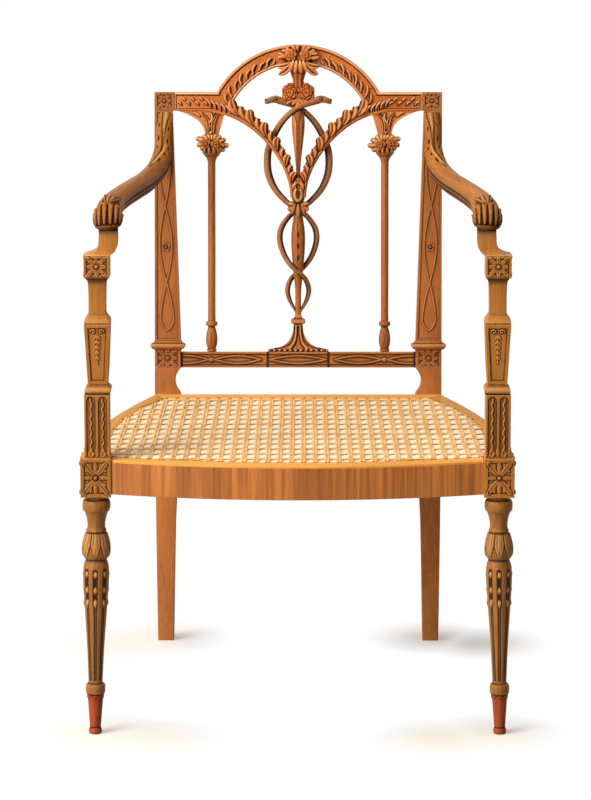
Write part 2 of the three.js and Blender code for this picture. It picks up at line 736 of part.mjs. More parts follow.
const crestTenon = (grow) => block(
  [crestHalf - overrun, crestHalf + crestTenonLength + grow],
  [columnY - crestTenonThickness / 2 - grow, columnY + crestTenonThickness / 2 + grow],
  [
    cornerBlockRise + (cornerBlockHeight - crestTenonHeight) / 2 - grow,
    cornerBlockRise + (cornerBlockHeight + crestTenonHeight) / 2 + grow,
  ],
);
const lowerRailEnd = postOuter - postWaistWidth - clearance;
const lowerTenon = (grow) => block(
  [lowerRailEnd - overrun, lowerRailEnd + tenonLength + grow],
  [columnY - crestTenonThickness / 2 - grow, columnY + crestTenonThickness / 2 + grow],
  [lowerRailRise + lowerFieldMargin - grow, lowerRailTop - lowerFieldMargin + grow],
);
const backDeep = postSplay * 4;
const backPostWhole = frontPlate(postFrontShape, -capOverhang * 2, backDeep)
  .intersect(solidOf(sidePlateGeometry(postSideShape, 0, frontWidth).applyMatrix4(intoBack)));
const cornerPanel = block(
  [postOuter - cornerBlockWidth + blockMargin, postOuter - blockMargin],
  [-overrun, fieldSink],
  [cornerBlockRise + blockMargin, backRise - blockMargin],
);
const pateraPanel = block(
  [postOuter - postWaistWidth + blockMargin, postOuter - blockMargin],
  [-overrun, fieldSink],
  [lowerRailRise + blockMargin, lowerRailTop],
);
const backPost = cut(backPostWhole, [
  crestTenon(clearance),
  lowerTenon(clearance),
  cornerPanel,
  pateraPanel,
  solidOf(rearTenonGeometry(clearance).applyMatrix4(intoBack)),
  ...screwHole.map(solidOf),
]);

// Arm: from the front of the back post down and forward into the knuckle on the support
const armRoot = new THREE.Vector3(postOuter - armRootInset, -armRootProud, backRise - armRootDrop)
  .applyMatrix4(backPlace);
const armFoot = new THREE.Vector3(supportTopX, blockCentreY, supportTop + clearance);
const armCurve = new THREE.CatmullRomCurve3(armShares.map(([across, along, up]) => new THREE.Vector3(
  THREE.MathUtils.lerp(armRoot.x, armFoot.x, across),
  THREE.MathUtils.lerp(armFoot.y, armRoot.y, along),
  THREE.MathUtils.lerp(armFoot.z, armRoot.z, up),
)));
const armBody = swept(armCurve, armSteps, armSides, new THREE.Vector3(1, 0, 0), (share) => [
  armWidth * between(armShares.map((row) => row[4]), share),
  armWidth * between(armShares.map((row) => row[3]), share),
]);
const postFaceCut = solidOf(boxOf(
  [0, frontWidth],
  [-clearance, backDeep],
  [0, backRise + overrun],
).applyMatrix4(backPlace));
const kneeCut = block([0, frontWidth], [-frontBlock, seatDepth / 2], [blockTop, supportTop + clearance]);
const arm = cut(armBody, [
  postFaceCut,
  kneeCut,
  armPeg(clearance),
  solidOf(screwGeometry(screwRadius + clearance, -screwBite - clearance, 0).applyMatrix4(backPlace)),
]);

// Crest rail: two shoulders with a raised edge, and the arch between them
const shoulderHalf = Math.sqrt(archOuter ** 2 - (backRise - archCentreRise) ** 2);
const crestShape = (() => {
  const shape = new THREE.Shape();
  const outerAngle = Math.atan2(backRise - archCentreRise, shoulderHalf);
  const span = crestHalf - archFootHalf;
  const lower = crestEdgeShares.map(([across, drop]) => [
    archFootHalf + across * span, cornerBlockRise + drop * cornerBlockHeight,
  ]);
  shape.moveTo(crestHalf, cornerBlockRise);
  shape.lineTo(crestHalf, backRise);
  shape.lineTo(shoulderHalf, backRise);
  shape.absarc(0, archCentreRise, archOuter, outerAngle, Math.PI - outerAngle, false);
  shape.lineTo(-crestHalf, backRise);
  shape.lineTo(-crestHalf, cornerBlockRise);
  lower.forEach(([x, rise]) => shape.lineTo(-x, rise));
  shape.absarc(0, archCentreRise, archInner, Math.PI - archLow, archLow, true);
  lower.slice().reverse().forEach(([x, rise]) => shape.lineTo(x, rise));
  return shape;
})();
const archField = (() => {
  const shape = new THREE.Shape();
  const low = archLow * archFieldShare;
  shape.absarc(0, archCentreRise, archOuter - filletWidth, low, Math.PI - low, false);
  shape.absarc(0, archCentreRise, archInner + filletWidth, Math.PI - low, low, true);
  return shape;
})();
const crestArcSegments = 30;
const shoulderField = block(
  [shoulderHalf + filletWidth, crestHalf - filletWidth / 2],
  [-overrun, fieldSink],
  [cornerBlockRise + filletWidth / 2, backRise - filletWidth],
);
const branchTenon = (grow) => block(
  [archFootHalf - branchTenonLength, archFootHalf + branchTenonLength + grow],
  [branchSetback + fieldSink - grow, branchSetback + branchThickness - fieldSink + grow],
  [cornerBlockRise - branchBand / 2 - grow, cornerBlockRise + branchBand / 2 + grow],
);

// Branch: a plain band along the lower edge and leaves standing up from it
const branchRoot = new THREE.Vector2(archFootHalf - clearance, archFootRise);
const branchEnd = new THREE.Vector2(branchEndHalf, branchEndRise);
const branchPull = ([across, down]) => new THREE.Vector2(
  THREE.MathUtils.lerp(branchEnd.x, branchRoot.x, across),
  THREE.MathUtils.lerp(branchRoot.y, branchEnd.y, down),
);
const branchCurve = new THREE.CubicBezierCurve(
  branchRoot, branchPull(branchPullShares[0]), branchPull(branchPullShares[1]), branchEnd,
);
const leafOutlineShares = [[0, 0.1], [0.3, 0.75], [0.55, 1], [0.8, 0.85], [0.95, 0.3]];
const branchOutline = (() => {
  const lower = branchCurve.getPoints(branchLeaves * 2).map(({ x, y }) => [x, y]);
  const upper = [];
  for (let leaf = 0; leaf < branchLeaves; leaf += 1) {
    leafOutlineShares.forEach(([along, lift]) => {
      const share = (leaf + along) / branchLeaves;
      const place = branchCurve.getPoint(share);
      const way = branchCurve.getTangent(share);
      const leafHeight = THREE.MathUtils.lerp(branchLeafTop, branchLeafEnd, share);
      const band = THREE.MathUtils.lerp(branchBand, branchBand / 2, share);
      const reach = band + leafHeight * lift;
      upper.push([place.x + way.y * reach, place.y - way.x * reach]);
    });
  }
  return outlineOf([...lower, ...upper.reverse()]);
})();

// Ribbons, entwined round the staff
const ribbon = (front, grow) => {
  const points = ribbonShares.map(([across, up, frontY, rearY]) => new THREE.Vector3(
    across * ribbonReach,
    front ? frontY : rearY,
    THREE.MathUtils.lerp(ribbonFootRise, ribbonTopRise, up),
  ));
  const curve = new THREE.CatmullRomCurve3(points);
  return swept(curve, ribbonSteps, ribbonSides, new THREE.Vector3(0, 1, 0), (share) => [
    ribbonWidth * between(ribbonShares.map((row) => row[4]), share) + 2 * grow,
    ribbonThickness + 2 * grow,
  ]);
};
const ribbonRight = ribbon(true, 0);
const ribbonLeft = mirrored(ribbon(false, 0));
const ribbonRoom = [ribbon(true, clearance), mirrored(ribbon(false, clearance))];

// Staff and what it carries
const staffPlace = [0, staffDepth];
const staffRoundSides = 16;
const staffCollar = turned(
  rowsOf(staffCollarProfileShares, staffCollarRadius, staffCollarRise, staffCollarHeight),
  staffPlace,
  { sides: staffRoundSides, flatten: flatShare, lobe: petals },
);
const staffPeg = (grow) => peg(
  staffPegRadius + grow, staffPlace, staffRingRise - staffPegLength - grow, staffRingRise + overrun,
);
const staffRows = [
  ...rowsOf(staffFootShares, staffRadius, staffRingRise, staffCollarRise - staffRingRise),
  [staffRadius * staffNeckShare, staffCollarTop],
  [staffRadius * staffNeckShare, calyxTop],
  ...rowsOf(staffBudShares, staffRadius, calyxTop, staffTopRise - calyxTop),
];
const staffBody = (grow) => turned(
  staffRows.map(([radius, height]) => [radius + grow, height]),
  staffPlace,
  { sides: staffRoundSides },
);
const staff = cut(
  joined([
    staffBody(0),
    staffCollar,
    staffPeg(0),
  ]),
  ribbonRoom,
);
const footRise = lowerRailTop + clearance;
const footTop = staffRingRise - clearance;
const staffFoot = (() => {
  const shape = new THREE.Shape();
  shape.moveTo(-footHalf, footRise);
  shape.lineTo(footHalf, footRise);
  shape.lineTo(footHalf, footRise + footStrip);
  shape.quadraticCurveTo(footHalfTop, footRise + footStrip, footHalfTop, footTop);
  shape.lineTo(-footHalfTop, footTop);
  shape.quadraticCurveTo(-footHalfTop, footRise + footStrip, -footHalf, footRise + footStrip);
  return shape;
})();
const footTenon = (grow) => block(
  [-footTenonHalf - grow, footTenonHalf + grow],
  [staffDepth - footTenonLength / 2 - grow, staffDepth + footTenonLength / 2 + grow],
  [lowerRailTop - footTenonLength - grow, footRise + overrun / 2],
);
const footY = [staffDepth - footThickness / 2, staffDepth + footThickness / 2];
const foot = joined([frontPlate(staffFoot, ...footY), footTenon(0)]).subtract(staffPeg(clearance));
const calyxBody = (grow) => turned(
  rowsOf(calyxProfileShares, calyxRadius + grow, calyxRise - grow, calyxHeight + 2 * grow),
  staffPlace,
  { sides: staffRoundSides },
);
const calyx = cut(calyxBody(0), [staffBody(clearance), ...ribbonRoom]);

// Lower back rail, columns, capitals and corbels
const lowerField = (x0, x1) => block(
  [x0, x1],
  [-overrun, lowerRailSetback + fieldSink],
  [lowerRailRise + lowerFieldMargin, lowerRailTop - lowerFieldMargin],
);
const fieldEnds = [-lowerRailEnd, -lowerFieldSplit, lowerFieldSplit, lowerRailEnd];
const lowerFields = fieldEnds.slice(1).map((end, i) => (
  lowerField(fieldEnds[i] + lowerFieldMargin / 2, end - lowerFieldMargin / 2)
));
const columnPlace = [columnX, columnY];
const columnFoot = lowerRailTop + clearance;
const lowerPeg = (grow) => peg(
  columnPegRadius + grow, columnPlace, lowerRailTop - columnPegLength - grow, columnFoot + overrun,
);
const upperPegTop = columnTopRise + capitalHeight + columnPegLength;
const upperPeg = (grow) => (
  peg(columnPegRadius + grow, columnPlace, columnTopRise - overrun, upperPegTop + grow)
);
const lowerRail = cut(
  joined([
    block(
      [-lowerRailEnd, lowerRailEnd],
      [lowerRailSetback, lowerRailSetback + lowerRailDepth],
      [lowerRailRise, lowerRailTop],
    ),
    lowerTenon(0),
    mirrored(lowerTenon(0)),
  ]),
  [...lowerFields, lowerPeg(clearance), mirrored(lowerPeg(clearance)), footTenon(clearance)],
);
const column = joined([
  turned(
    [
      ...rowsOf(columnProfileShares, columnRadius, columnFoot, columnTopRise - columnFoot),
      [cupRadius, columnTopRise - cupHeight],
      [cupRadius, columnTopRise],
    ],
    columnPlace,
    { sides: columnSides },
  ),
  lowerPeg(0),
  upperPeg(0),
]);
const capitalTop = columnTopRise + capitalHeight;
const capital = turned(
  rowsOf(capitalProfileShares, capitalRadius, columnTopRise + clearance, capitalHeight),
  columnPlace,
  { sides: petalCount * 2, flatten: capitalFlatShare, lobe: petals },
).subtract(upperPeg(clearance));
const crestWhole = joined([
  frontPlate(crestShape, 0, backThickness, crestArcSegments),
  crestTenon(0),
  mirrored(crestTenon(0)),
]);
const branchY = [branchSetback, branchSetback + branchThickness];
const branchBody = cut(frontPlate(branchOutline, ...branchY), [
  crestWhole,
  shifted(crestWhole, -clearance, 0, 0),
]);
const branches = pair(joined([branchBody, branchTenon(0)])).map((solid) => (
  cut(solid, [calyxBody(clearance), ...ribbonRoom])
));
const corbelShape = (() => {
  const shape = new THREE.Shape();
  const foot = capitalTop + 2 * clearance;
  shape.moveTo(columnX - corbelNeck / 2, foot);
  shape.lineTo(columnX + corbelNeck / 2, foot);
  shape.quadraticCurveTo(
    columnX + corbelNeck / 2, cornerBlockRise - corbelNeck / 2,
    crestHalf - clearance, cornerBlockRise + clearance,
  );
  shape.lineTo(archFootHalf + filletWidth, cornerBlockRise + clearance);
  return shape;
})();
const corbel = cut(frontPlate(corbelShape, corbelSetback, backThickness - corbelSetback), [
  crestWhole,
  shifted(crestWhole, 0, 0, -clearance),
  upperPeg(clearance),
]);

// Crown flower over the arch, its bell under the arch, and the roses
const bellTop = archCentreRise + archInner - clearance;
const flowerDisc = (() => {
  const rim = turned(
    rowsOf(crownProfileShares, crownFlowerRadius, 0, crownFlowerThickness),
    [0, 0],
    { sides: petalCount * 2, lobe: petals },
  );
  const facing = geometryOf(rim).rotateX(Math.PI / 2);
  facing.scale(crownFlowerStretchShare, 1, 1);
  return solidOf(facing.translate(0, -clearance, crownFlowerRise));
})();
const bellLeafPoint = ([across, drop]) => [across * bellTopHalf, bellTop - drop * bellHeight];
const bellLeaf = bellLeafShares.map(bellLeafPoint);
const bellShape = outlineOf([
  [-bellFootHalf, bellTop - bellHeight],
  [bellFootHalf, bellTop - bellHeight],
  ...bellLeaf,
  ...bellLeaf.map(([x, rise]) => [-x, rise]).reverse(),
]);
const bellPeg = (grow) => peg(
  columnPegRadius + grow, [0, bellDepth], bellTop - overrun, bellTop + columnPegLength + grow,
);
const bell = cut(frontPlate(bellShape, -overrun / 2, bellDepth + columnPegRadius), [
  crestWhole,
  shifted(crestWhole, 0, 0, -clearance),
]);
const crownFlower = joined([flowerDisc, bell, bellPeg(0)]);
const rose = (() => {
  const body = turned(
    rowsOf(roseProfileShares, roseRadius, 0, roseThickness),
    [0, 0],
    { sides: petalCount * 2, lobe: petals },
  );
  const facing = geometryOf(body).rotateX(Math.PI / 2).scale(1, 1, roseStretchShare);
  return solidOf(facing.translate(0, roseThickness, 0));
})();
const rosePlace = roseRadius * (1 - petalDepthShare);
const roseCut = (turn) => {
  const beyond = turn > 0 ? [-backWidth, clearance / 2] : [-clearance / 2, backWidth];
  return cut(shifted(rose, turn * rosePlace, 0, roseRise), [
    block(beyond, [-backThickness, 2 * backThickness], [0, 2 * backRise]),
    shifted(frontPlate(bellShape, -overrun, backThickness), 0, 0, -clearance),
    ...ribbonRoom,
  ]);
};

const crest = cut(crestWhole, [
  frontPlate(archField, -overrun, fieldSink, crestArcSegments),
  shoulderField,
  mirrored(shoulderField),
  branchTenon(clearance),
  mirrored(branchTenon(clearance)),
  bellPeg(clearance),
]);

// Materials: satinwood, its redder crest, the cane, plain beech inside and steel screws
const wood = (color) => new THREE.MeshStandardMaterial({ color, roughness: 0.42, metalness: 0 });
const satinwood = () => wood(0xb5702f);
const redSatinwood = () => wood(0xb0602c);
const seatwood = () => wood(0xd9924a);
const beech = () => wood(0xc9a878);
const cane = () => new THREE.MeshStandardMaterial({ color: 0xf0d9a8, roughness: 0.6, metalness: 0 });
const steel = () => new THREE.MeshStandardMaterial({ color: 0x8a8a86, roughness: 0.35, metalness: 1 });

// Assembly
const chair = new THREE.Group();
const back = new THREE.Group();
back.position.set(0, seatDepth, seatHeight);
back.rotation.x = -backRake;
chair.add(back);

const place = (parent, name, solid, material) => {
  const mesh = new THREE.Mesh(geometryOf(solid), material);
  mesh.name = name;
  parent.add(mesh);
};
const placePair = (parent, name, solid, material) => {
  place(parent, `${name}_right`, solid, material());
  place(parent, `${name}_left`, mirrored(solid), material());
};

placePair(back, 'back_post', backPost, satinwood);
place(back, 'crest_rail', crest, redSatinwood());
placePair(back, 'corbel', corbel, redSatinwood);
placePair(back, 'flower_capital', capital, satinwood);
placePair(back, 'column', column, satinwood);
place(back, 'branch_right', branches[0], redSatinwood());
place(back, 'branch_left', branches[1], redSatinwood());
place(back, 'ribbon_right', ribbonRight, satinwood());
place(back, 'ribbon_left', ribbonLeft, satinwood());
place(back, 'centre_staff', staff, satinwood());
place(back, 'staff_calyx', calyx, satinwood());
place(back, 'staff_foot', foot, satinwood());
place(back, 'crown_flower', crownFlower, redSatinwood());
place(back, 'rose_right', roseCut(1), redSatinwood());
place(back, 'rose_left', roseCut(-1), redSatinwood());
place(back, 'lower_back_rail', lowerRail, satinwood());
placePair(back, 'arm_screw', armScrew, steel);
placePair(chair, 'arm', arm, satinwood);
placePair(chair, 'front_post', frontPost, satinwood);
place(chair, 'front_rail', frontRail, seatwood());
placePair(chair, 'side_rail', sideRail, seatwood);
place(chair, 'rear_rail', rearRail, seatwood());
place(chair, 'cane_panel', canePanel, cane());
placePair(chair, 'front_glue_block', frontGlueBlock, beech);
placePair(chair, 'rear_glue_block', rearGlueBlock, beech);

// The origin is on the floor, in the middle of the chair's box
chair.updateMatrixWorld(true);
const extent = new THREE.Box3().setFromObject(chair, true);
chair.position.y = -(extent.min.y + extent.max.y) / 2;
chair.updateMatrixWorld(true);

export default chair;
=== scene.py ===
import math

import bmesh
import bpy
import numpy as np
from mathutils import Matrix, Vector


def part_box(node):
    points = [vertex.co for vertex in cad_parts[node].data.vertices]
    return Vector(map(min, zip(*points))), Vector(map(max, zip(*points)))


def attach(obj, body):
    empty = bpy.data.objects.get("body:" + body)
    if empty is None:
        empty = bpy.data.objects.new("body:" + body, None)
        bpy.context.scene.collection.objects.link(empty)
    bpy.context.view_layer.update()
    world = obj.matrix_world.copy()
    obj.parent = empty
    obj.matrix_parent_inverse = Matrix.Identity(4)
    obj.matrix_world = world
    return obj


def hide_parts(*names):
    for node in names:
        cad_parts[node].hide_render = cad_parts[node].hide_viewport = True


# A square-back open armchair in carved satinwood, with a caned seat.
# Shapes are worked out in millimetres, X to the right, Y to the back and Z up.
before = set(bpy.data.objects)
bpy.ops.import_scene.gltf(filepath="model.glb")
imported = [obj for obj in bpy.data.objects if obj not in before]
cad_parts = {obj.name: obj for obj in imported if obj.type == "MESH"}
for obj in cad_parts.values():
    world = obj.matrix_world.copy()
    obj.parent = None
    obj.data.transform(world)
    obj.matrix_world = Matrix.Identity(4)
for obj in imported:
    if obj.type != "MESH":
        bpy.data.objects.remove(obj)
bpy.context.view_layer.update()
MM = 0.001

# Driving sizes, taken from the frame where it has them
FRONT_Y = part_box("front_post_right")[0][1] / MM
HALF_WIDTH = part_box("front_post_right")[1][0] / MM
SEAT_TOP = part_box("cane_panel")[1][2] / MM
RAIL_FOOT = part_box("rear_rail")[0][2] / MM
SEAT_DEPTH = 450
BACK_Y = FRONT_Y + SEAT_DEPTH
BACK_RISE = 447
BACK_THICKNESS = 24
RAKE = math.radians(9.1)
TURN = 2 * math.pi
POST_OUTER = 212.5
FRONT_BLOCK = 42
POST_X = HALF_WIDTH - FRONT_BLOCK / 2
BLOCK_TOP = SEAT_TOP + 3
LEG_HEIGHT = BLOCK_TOP - 55
# Room left where two pieces meet
FIT = 0.3
SIDE_NAMES = {1: "right", -1: "left"}


# Places: each takes a distance across, a distance up and a height out of the face
def on_back(x, depth, rise):
    """Points of the raked back, from its front face and the top of the seat."""
    x, depth, rise = np.broadcast_arrays(x, depth, rise)
    return np.stack([
        x,
        BACK_Y + depth * math.cos(RAKE) + rise * math.sin(RAKE),
        SEAT_TOP - depth * math.sin(RAKE) + rise * math.cos(RAKE),
    ], axis=-1)


def back_face(depth):
    return lambda across, up, out: on_back(across, depth - out, up)


def rear_face(depth):
    return lambda across, up, out: on_back(across, depth + out, up)


def standing(x, y):
    """Round an upright line of the room."""
    return lambda across, behind, up: np.stack(
        np.broadcast_arrays(x + across, FRONT_Y + y + behind, up), axis=-1)


def raked(x, depth):
    """Round a line that rises with the back."""
    return lambda across, behind, up: on_back(x + across, depth + behind, up)


def domed(face, centre, radius, rise, stretch=1.0):
    """A face swollen into a dome round a centre."""
    def place(across, up, out):
        reach = ((across - centre[0]) ** 2 + ((up - centre[1]) / stretch) ** 2) / radius ** 2
        return face(across, up, out + rise * np.sqrt(np.maximum(1 - reach, 0)))
    return place


def facing_front(y, x=0.0):
    """A face that looks to the front; y may change with the height."""
    def place(across, up, out):
        across, up, out = np.broadcast_arrays(across, up, out)
        return np.stack([across + x, FRONT_Y + (y(up) if callable(y) else y) - out, up], axis=-1)
    return place


def facing_side(x, y=0.0):
    """A face that looks to the right; x may change with the height."""
    def place(across, up, out):
        across, up, out = np.broadcast_arrays(across, up, out)
        return np.stack([(x(up) if callable(x) else x) + out, FRONT_Y + y + across, up], axis=-1)
    return place


def facing_up(across, up, out):
    """The seat's plane: across is X, up is Y behind the front blocks' faces."""
    across, up, out = np.broadcast_arrays(across, up, out)
    return np.stack([across, FRONT_Y + up, SEAT_TOP + out], axis=-1)


# Curves
def spline(points, count):
    """Evenly shared points of a smooth curve through the given ones."""
    given = np.array(points, float)
    given = np.vstack([2 * given[0] - given[1], given, 2 * given[-1] - given[-2]])
    share = np.linspace(0, len(points) - 1, count)
    start = np.minimum(share.astype(int), len(points) - 2)
    part = (share - start)[:, None]
    a, b, c, d = (given[start + step] for step in range(4))

    def root(p, q):
        return np.maximum(np.sqrt(np.linalg.norm(q - p, axis=1)), 1e-4)[:, None]

    before, within, after = root(a, b), root(b, c), root(c, d)
    leave = ((b - a) / before - (c - a) / (before + within) + (c - b) / within) * within
    arrive = ((c - b) / within - (d - b) / (within + after) + (d - c) / after) * within
    return (
        b + leave * part
        + (3 * (c - b) - 2 * leave - arrive) * part ** 2
        + (2 * (b - c) + leave + arrive) * part ** 3
    )


def bezier(points, count):
    share = np.linspace(0, 1, count)[:, None]
    a, b, c, d = (np.array(point, float) for point in points)
    return (
        (1 - share) ** 3 * a + 3 * (1 - share) ** 2 * share * b
        + 3 * (1 - share) * share ** 2 * c + share ** 3 * d
    )


def arc(centre, radius, start, end, count):
    angle = np.radians(np.linspace(start, end, count))
    return pairs(centre[0] + radius * np.cos(angle), centre[1] + radius * np.sin(angle))


def unit(vectors):
    return vectors / np.maximum(np.linalg.norm(vectors, axis=-1, keepdims=True), 1e-9)


def headings(points):
    return unit(np.gradient(points, axis=0))


def pairs(first, second):
    return np.stack([first, second], axis=1)


def full_turn(count):
    return np.linspace(0, TURN, count, endpoint=False)


def toward(angle):
    return np.array([math.cos(angle), math.sin(angle)])


def quadratic(start, pull, end, count):
    share = np.linspace(0, 1, count)[:, None]
    return (1 - share) ** 2 * start + 2 * share * (1 - share) * np.array(pull) + share ** 2 * end


def profile(rows, count, foot=0.0, radius=1.0, height=1.0):
    """The smooth outline of a turned body, through shares of its radius and height."""
    return spline([(reach * radius, foot + rise * height) for reach, rise in rows], count)


def peak(distance, width):
    """1 where the distance is 0, and falling off to both sides over the width."""
    return np.exp(-(distance / width) ** 2)


def held(value, low=0):
    return np.clip(value, low, 1)


def rectangle(x0, x1, y0, y1, z):
    return np.array([(x0, y0, z), (x1, y0, z), (x1, y1, z), (x0, y1, z)], float)


def rounded_box(corners, radius):
    """A ring of points round four corners, with each corner rounded."""
    ring = []
    for i, corner in enumerate(corners):
        back, ahead = unit(corners[i - 1] - corner), unit(corners[(i + 1) % 4] - corner)
        for angle in np.linspace(0, math.pi / 2, 4):
            turned = back * (1 - math.sin(angle)) + ahead * (1 - math.cos(angle))
            ring.append(corner + radius * turned)
    return np.array(ring)


# Sections of carved leaves: share across, share of the height, and painted shading from -1, a painted
# highlight, to 1, painted shade
VEINED = np.array([
    (-1, 0, 0.9), (-0.85, 0.75, 0.1), (-0.55, 1, -0.6), (-0.2, 0.72, 0.1), (0, 0.4, 0.95),
    (0.2, 0.72, 0.1), (0.55, 1, -0.6), (0.85, 0.75, 0.1), (1, 0, 0.9),
])
DOMED = np.array([
    (-1, 0, 0.95), (-0.85, 0.5, 0.45), (-0.5, 0.87, -0.1), (0, 1, -0.6),
    (0.5, 0.87, -0.1), (0.85, 0.5, 0.45), (1, 0, 0.95),
])
LOBED = np.array([
    (-1, 0, 0.95), (-0.85, 0.55, 0.4), (-0.45, 1, -0.4), (-0.05, 0.85, -0.1), (0.15, 0.6, 0.95),
    (0.35, 0.75, 0.1), (0.6, 0.85, -0.3), (0.85, 0.5, 0.4), (1, 0, 0.95),
])


def leaf_breadth(share, point):
    """A leaf's breadth along it, up to 1; a larger point makes its tip sharper."""
    most = 0.6 / (0.6 + point)
    return (share / most) ** 0.6 * ((1 - share) / (1 - most)) ** point


class Body:
    """The points, faces and painted shading of one piece while it is shaped."""

    def __init__(self):
        self.points, self.hollows, self.quads, self.caps, self.total = [], [], [], [], 0

    def put(self, points, hollow, quads, caps):
        flat = points.reshape(-1, 3)
        self.points.append(flat)
        self.hollows.append(np.broadcast_to(hollow, points.shape[:-1]).reshape(-1))
        self.quads.append(quads + self.total)
        self.caps += [cap + self.total for cap in caps]
        self.total += len(flat)

    def skin(self, rings, hollow=0.0):
        """A closed body stretched over rings of points."""
        rings = np.asarray(rings, float)
        rows, count = rings.shape[:2]
        index = np.arange(rows * count).reshape(rows, count)
        ahead = np.roll(index, -1, axis=1)
        quads = np.stack([index[:-1], ahead[:-1], ahead[1:], index[1:]], axis=-1).reshape(-1, 4)
        self.put(rings, hollow, quads, [index[0][::-1], index[-1]])

    def cover(self, top, hollow, below):
        """A closed patch: a grid of points on top and its rim let down to the points below."""
        rows, count = top.shape[:2]
        index = np.arange(rows * count).reshape(rows, count)
        quads = np.stack([index[:-1, :-1], index[:-1, 1:], index[1:, 1:], index[1:, :-1]], axis=-1)
        rim = np.concatenate([index[0], index[1:, -1], index[-1, -2::-1], index[-2:0:-1, 0]])
        foot = rows * count + np.arange(len(rim))
        skirt = np.stack([rim, foot, np.roll(foot, -1), np.roll(rim, -1)], axis=-1)
        points = np.concatenate([top.reshape(-1, 3), below.reshape(-1, 3)[rim]])
        hollows = np.concatenate([hollow.reshape(-1), hollow.reshape(-1)[rim]])
        self.put(points, hollows, np.concatenate([quads.reshape(-1, 4), skirt]), [foot])

    def leaf(self, face, base, tip, width, rise, low=0.0, high=0.0, curl=0.0, bend=0.0,
             section=DOMED, point=0.38, sink=1.5, stations=10, dark=0.0, root=0.6):
        """A carved leaf on a face, from its base to its tip."""
        base, tip = np.array(base, float), np.array(tip, float)
        share = np.linspace(0, 1, stations) ** 0.85
        way = tip - base
        side = np.array([-way[1], way[0]]) / max(np.hypot(*way), 1e-6)
        spine = base + share[:, None] * way + (bend * np.sin(math.pi * share))[:, None] * side
        half = width / 2 * leaf_breadth(0.03 + 0.955 * share, point)
        top = low + (high - low) * share + curl * share ** 3
        swell = rise * np.sin(math.pi * (0.1 + 0.75 * share)) ** 0.6
        across, lift, shade = section.T
        flat = spine[:, None, :] + (half[:, None] * across)[..., None] * side
        out = top[:, None] + swell[:, None] * lift
        under = spine[:, None, :] + (half[:, None] * np.array([0.55, -0.55]))[..., None] * side
        flat = np.concatenate([flat, under], axis=1)
        out = np.concatenate([out, pairs(top - sink, top - sink)], axis=1)
        # Painted shading: the section's painted shade and highlight, dark added to it, and painted shade
        # towards the root
        shades = held(np.append(shade, [1, 1]) + dark + root * (1 - share[:, None]) ** 2, -1)
        self.skin(face(flat[..., 0], flat[..., 1], out), shades)

    def leaf_with_painted_shadow(self, face, base, tip, width, rise, cast, bend=0.0, low=0.0, **rest):
        """A leaf with a flat dark copy of it laid beside it, offset by cast: a painted shadow."""
        base, tip = np.array(base, float), np.array(tip, float)
        # The flat dark copy, barely raised, is the painted shadow
        self.leaf(face, base + cast, tip + cast, width, 0.3, low=low, bend=bend, dark=2.0)
        self.leaf(face, base, tip, width, rise, low=low, bend=bend, **rest)

    def spray(self, face, middle, rows, base, **rest):
        """Leaves that spread from a middle: degrees round, reach and width of each."""
        for angle, reach, wide in rows:
            way = toward(math.radians(angle))
            self.leaf(face, middle + way * base(reach), middle + way * reach, wide, 4.0, curl=1.8, **rest)

    def dome(self, face, centre, radius, rise, low=0.0, stretch=1.0, dark=0.0, sides=14):
        """A rounded boss."""
        tilt = np.radians([90, 70, 48, 26, 8, 0, -30])[:, None]
        angle = full_turn(sides)
        reach = radius * np.cos(tilt * 0.97)
        out = low + np.where(tilt < 0, -1.0, rise * np.sin(tilt)) + 0 * angle
        # Painted shade round the foot and a painted highlight on top; dark adds painted shade over the whole
        # boss
        hollow = held(1.8 * dark + 0.9 * np.cos(tilt) ** 6 - 0.7 * np.sin(tilt) ** 2 + 0 * angle, -1)
        self.skin(face(
            centre[0] + reach * np.cos(angle), centre[1] + stretch * reach * np.sin(angle), out
        ), hollow)

    def strand(self, face, path, width, rise, low=0.0, edge=0.9, dark=0.0):
        """A raised cord along a path on a face; its width may change along it."""
        path = np.asarray(path, float)
        way = headings(path)
        side = pairs(-way[:, 1], way[:, 0])
        half = np.broadcast_to(np.asarray(width, float) / 2, len(path))
        rise = np.broadcast_to(np.asarray(rise, float), len(path))
        across = np.array([-1, -0.8, -0.35, 0.35, 0.8, 1, 0.8, -0.8])
        lift = np.array([0, 0.7, 1, 1, 0.7, 0, 0, 0])
        flat = path[:, None, :] + (half[:, None] * across)[..., None] * side[:, None, :]
        out = low + rise[:, None] * lift - np.array([0, 0, 0, 0, 0, 0, 1, 1])
        # Painted shade along the edges and the underside, a painted highlight along the top; dark adds
        # painted shade
        shade = np.array([edge, edge * 0.4, -0.35, -0.35, edge * 0.4, edge, 1, 1])
        self.skin(face(flat[..., 0], flat[..., 1], out), held(shade + dark, -1))

    def line(self, face, path, width=1.2):
        """A flat dark strip along a path: painted shade standing for the shadow of a cut line."""
        self.strand(face, path, width, 0.12, dark=2.0)

    def plate(self, face, outline, top, foot, edge=0.8, hollow=0.0):
        """A board with the given outline, between two heights, its upper edge rounded."""
        outline = np.asarray(outline, float)
        before, after = unit(outline - np.roll(outline, 1, 0)), unit(np.roll(outline, -1, 0) - outline)
        area = np.sum(outline[:, 0] * np.roll(outline[:, 1], -1) - outline[:, 1] * np.roll(outline[:, 0], -1))
        side = pairs(-(before + after)[:, 1], (before + after)[:, 0]) * np.sign(area)
        inward = side / np.maximum(np.sum((before + after) ** 2, axis=1), 1.0)[:, None] * 2
        rings = []
        for angle in np.radians([0, 30, 60, 90]):
            flat = outline + inward * edge * (1 - math.cos(angle))
            rings.append(face(flat[:, 0], flat[:, 1], top - edge + edge * math.sin(angle)))
        self.skin([face(outline[:, 0], outline[:, 1], foot)] + rings, hollow)

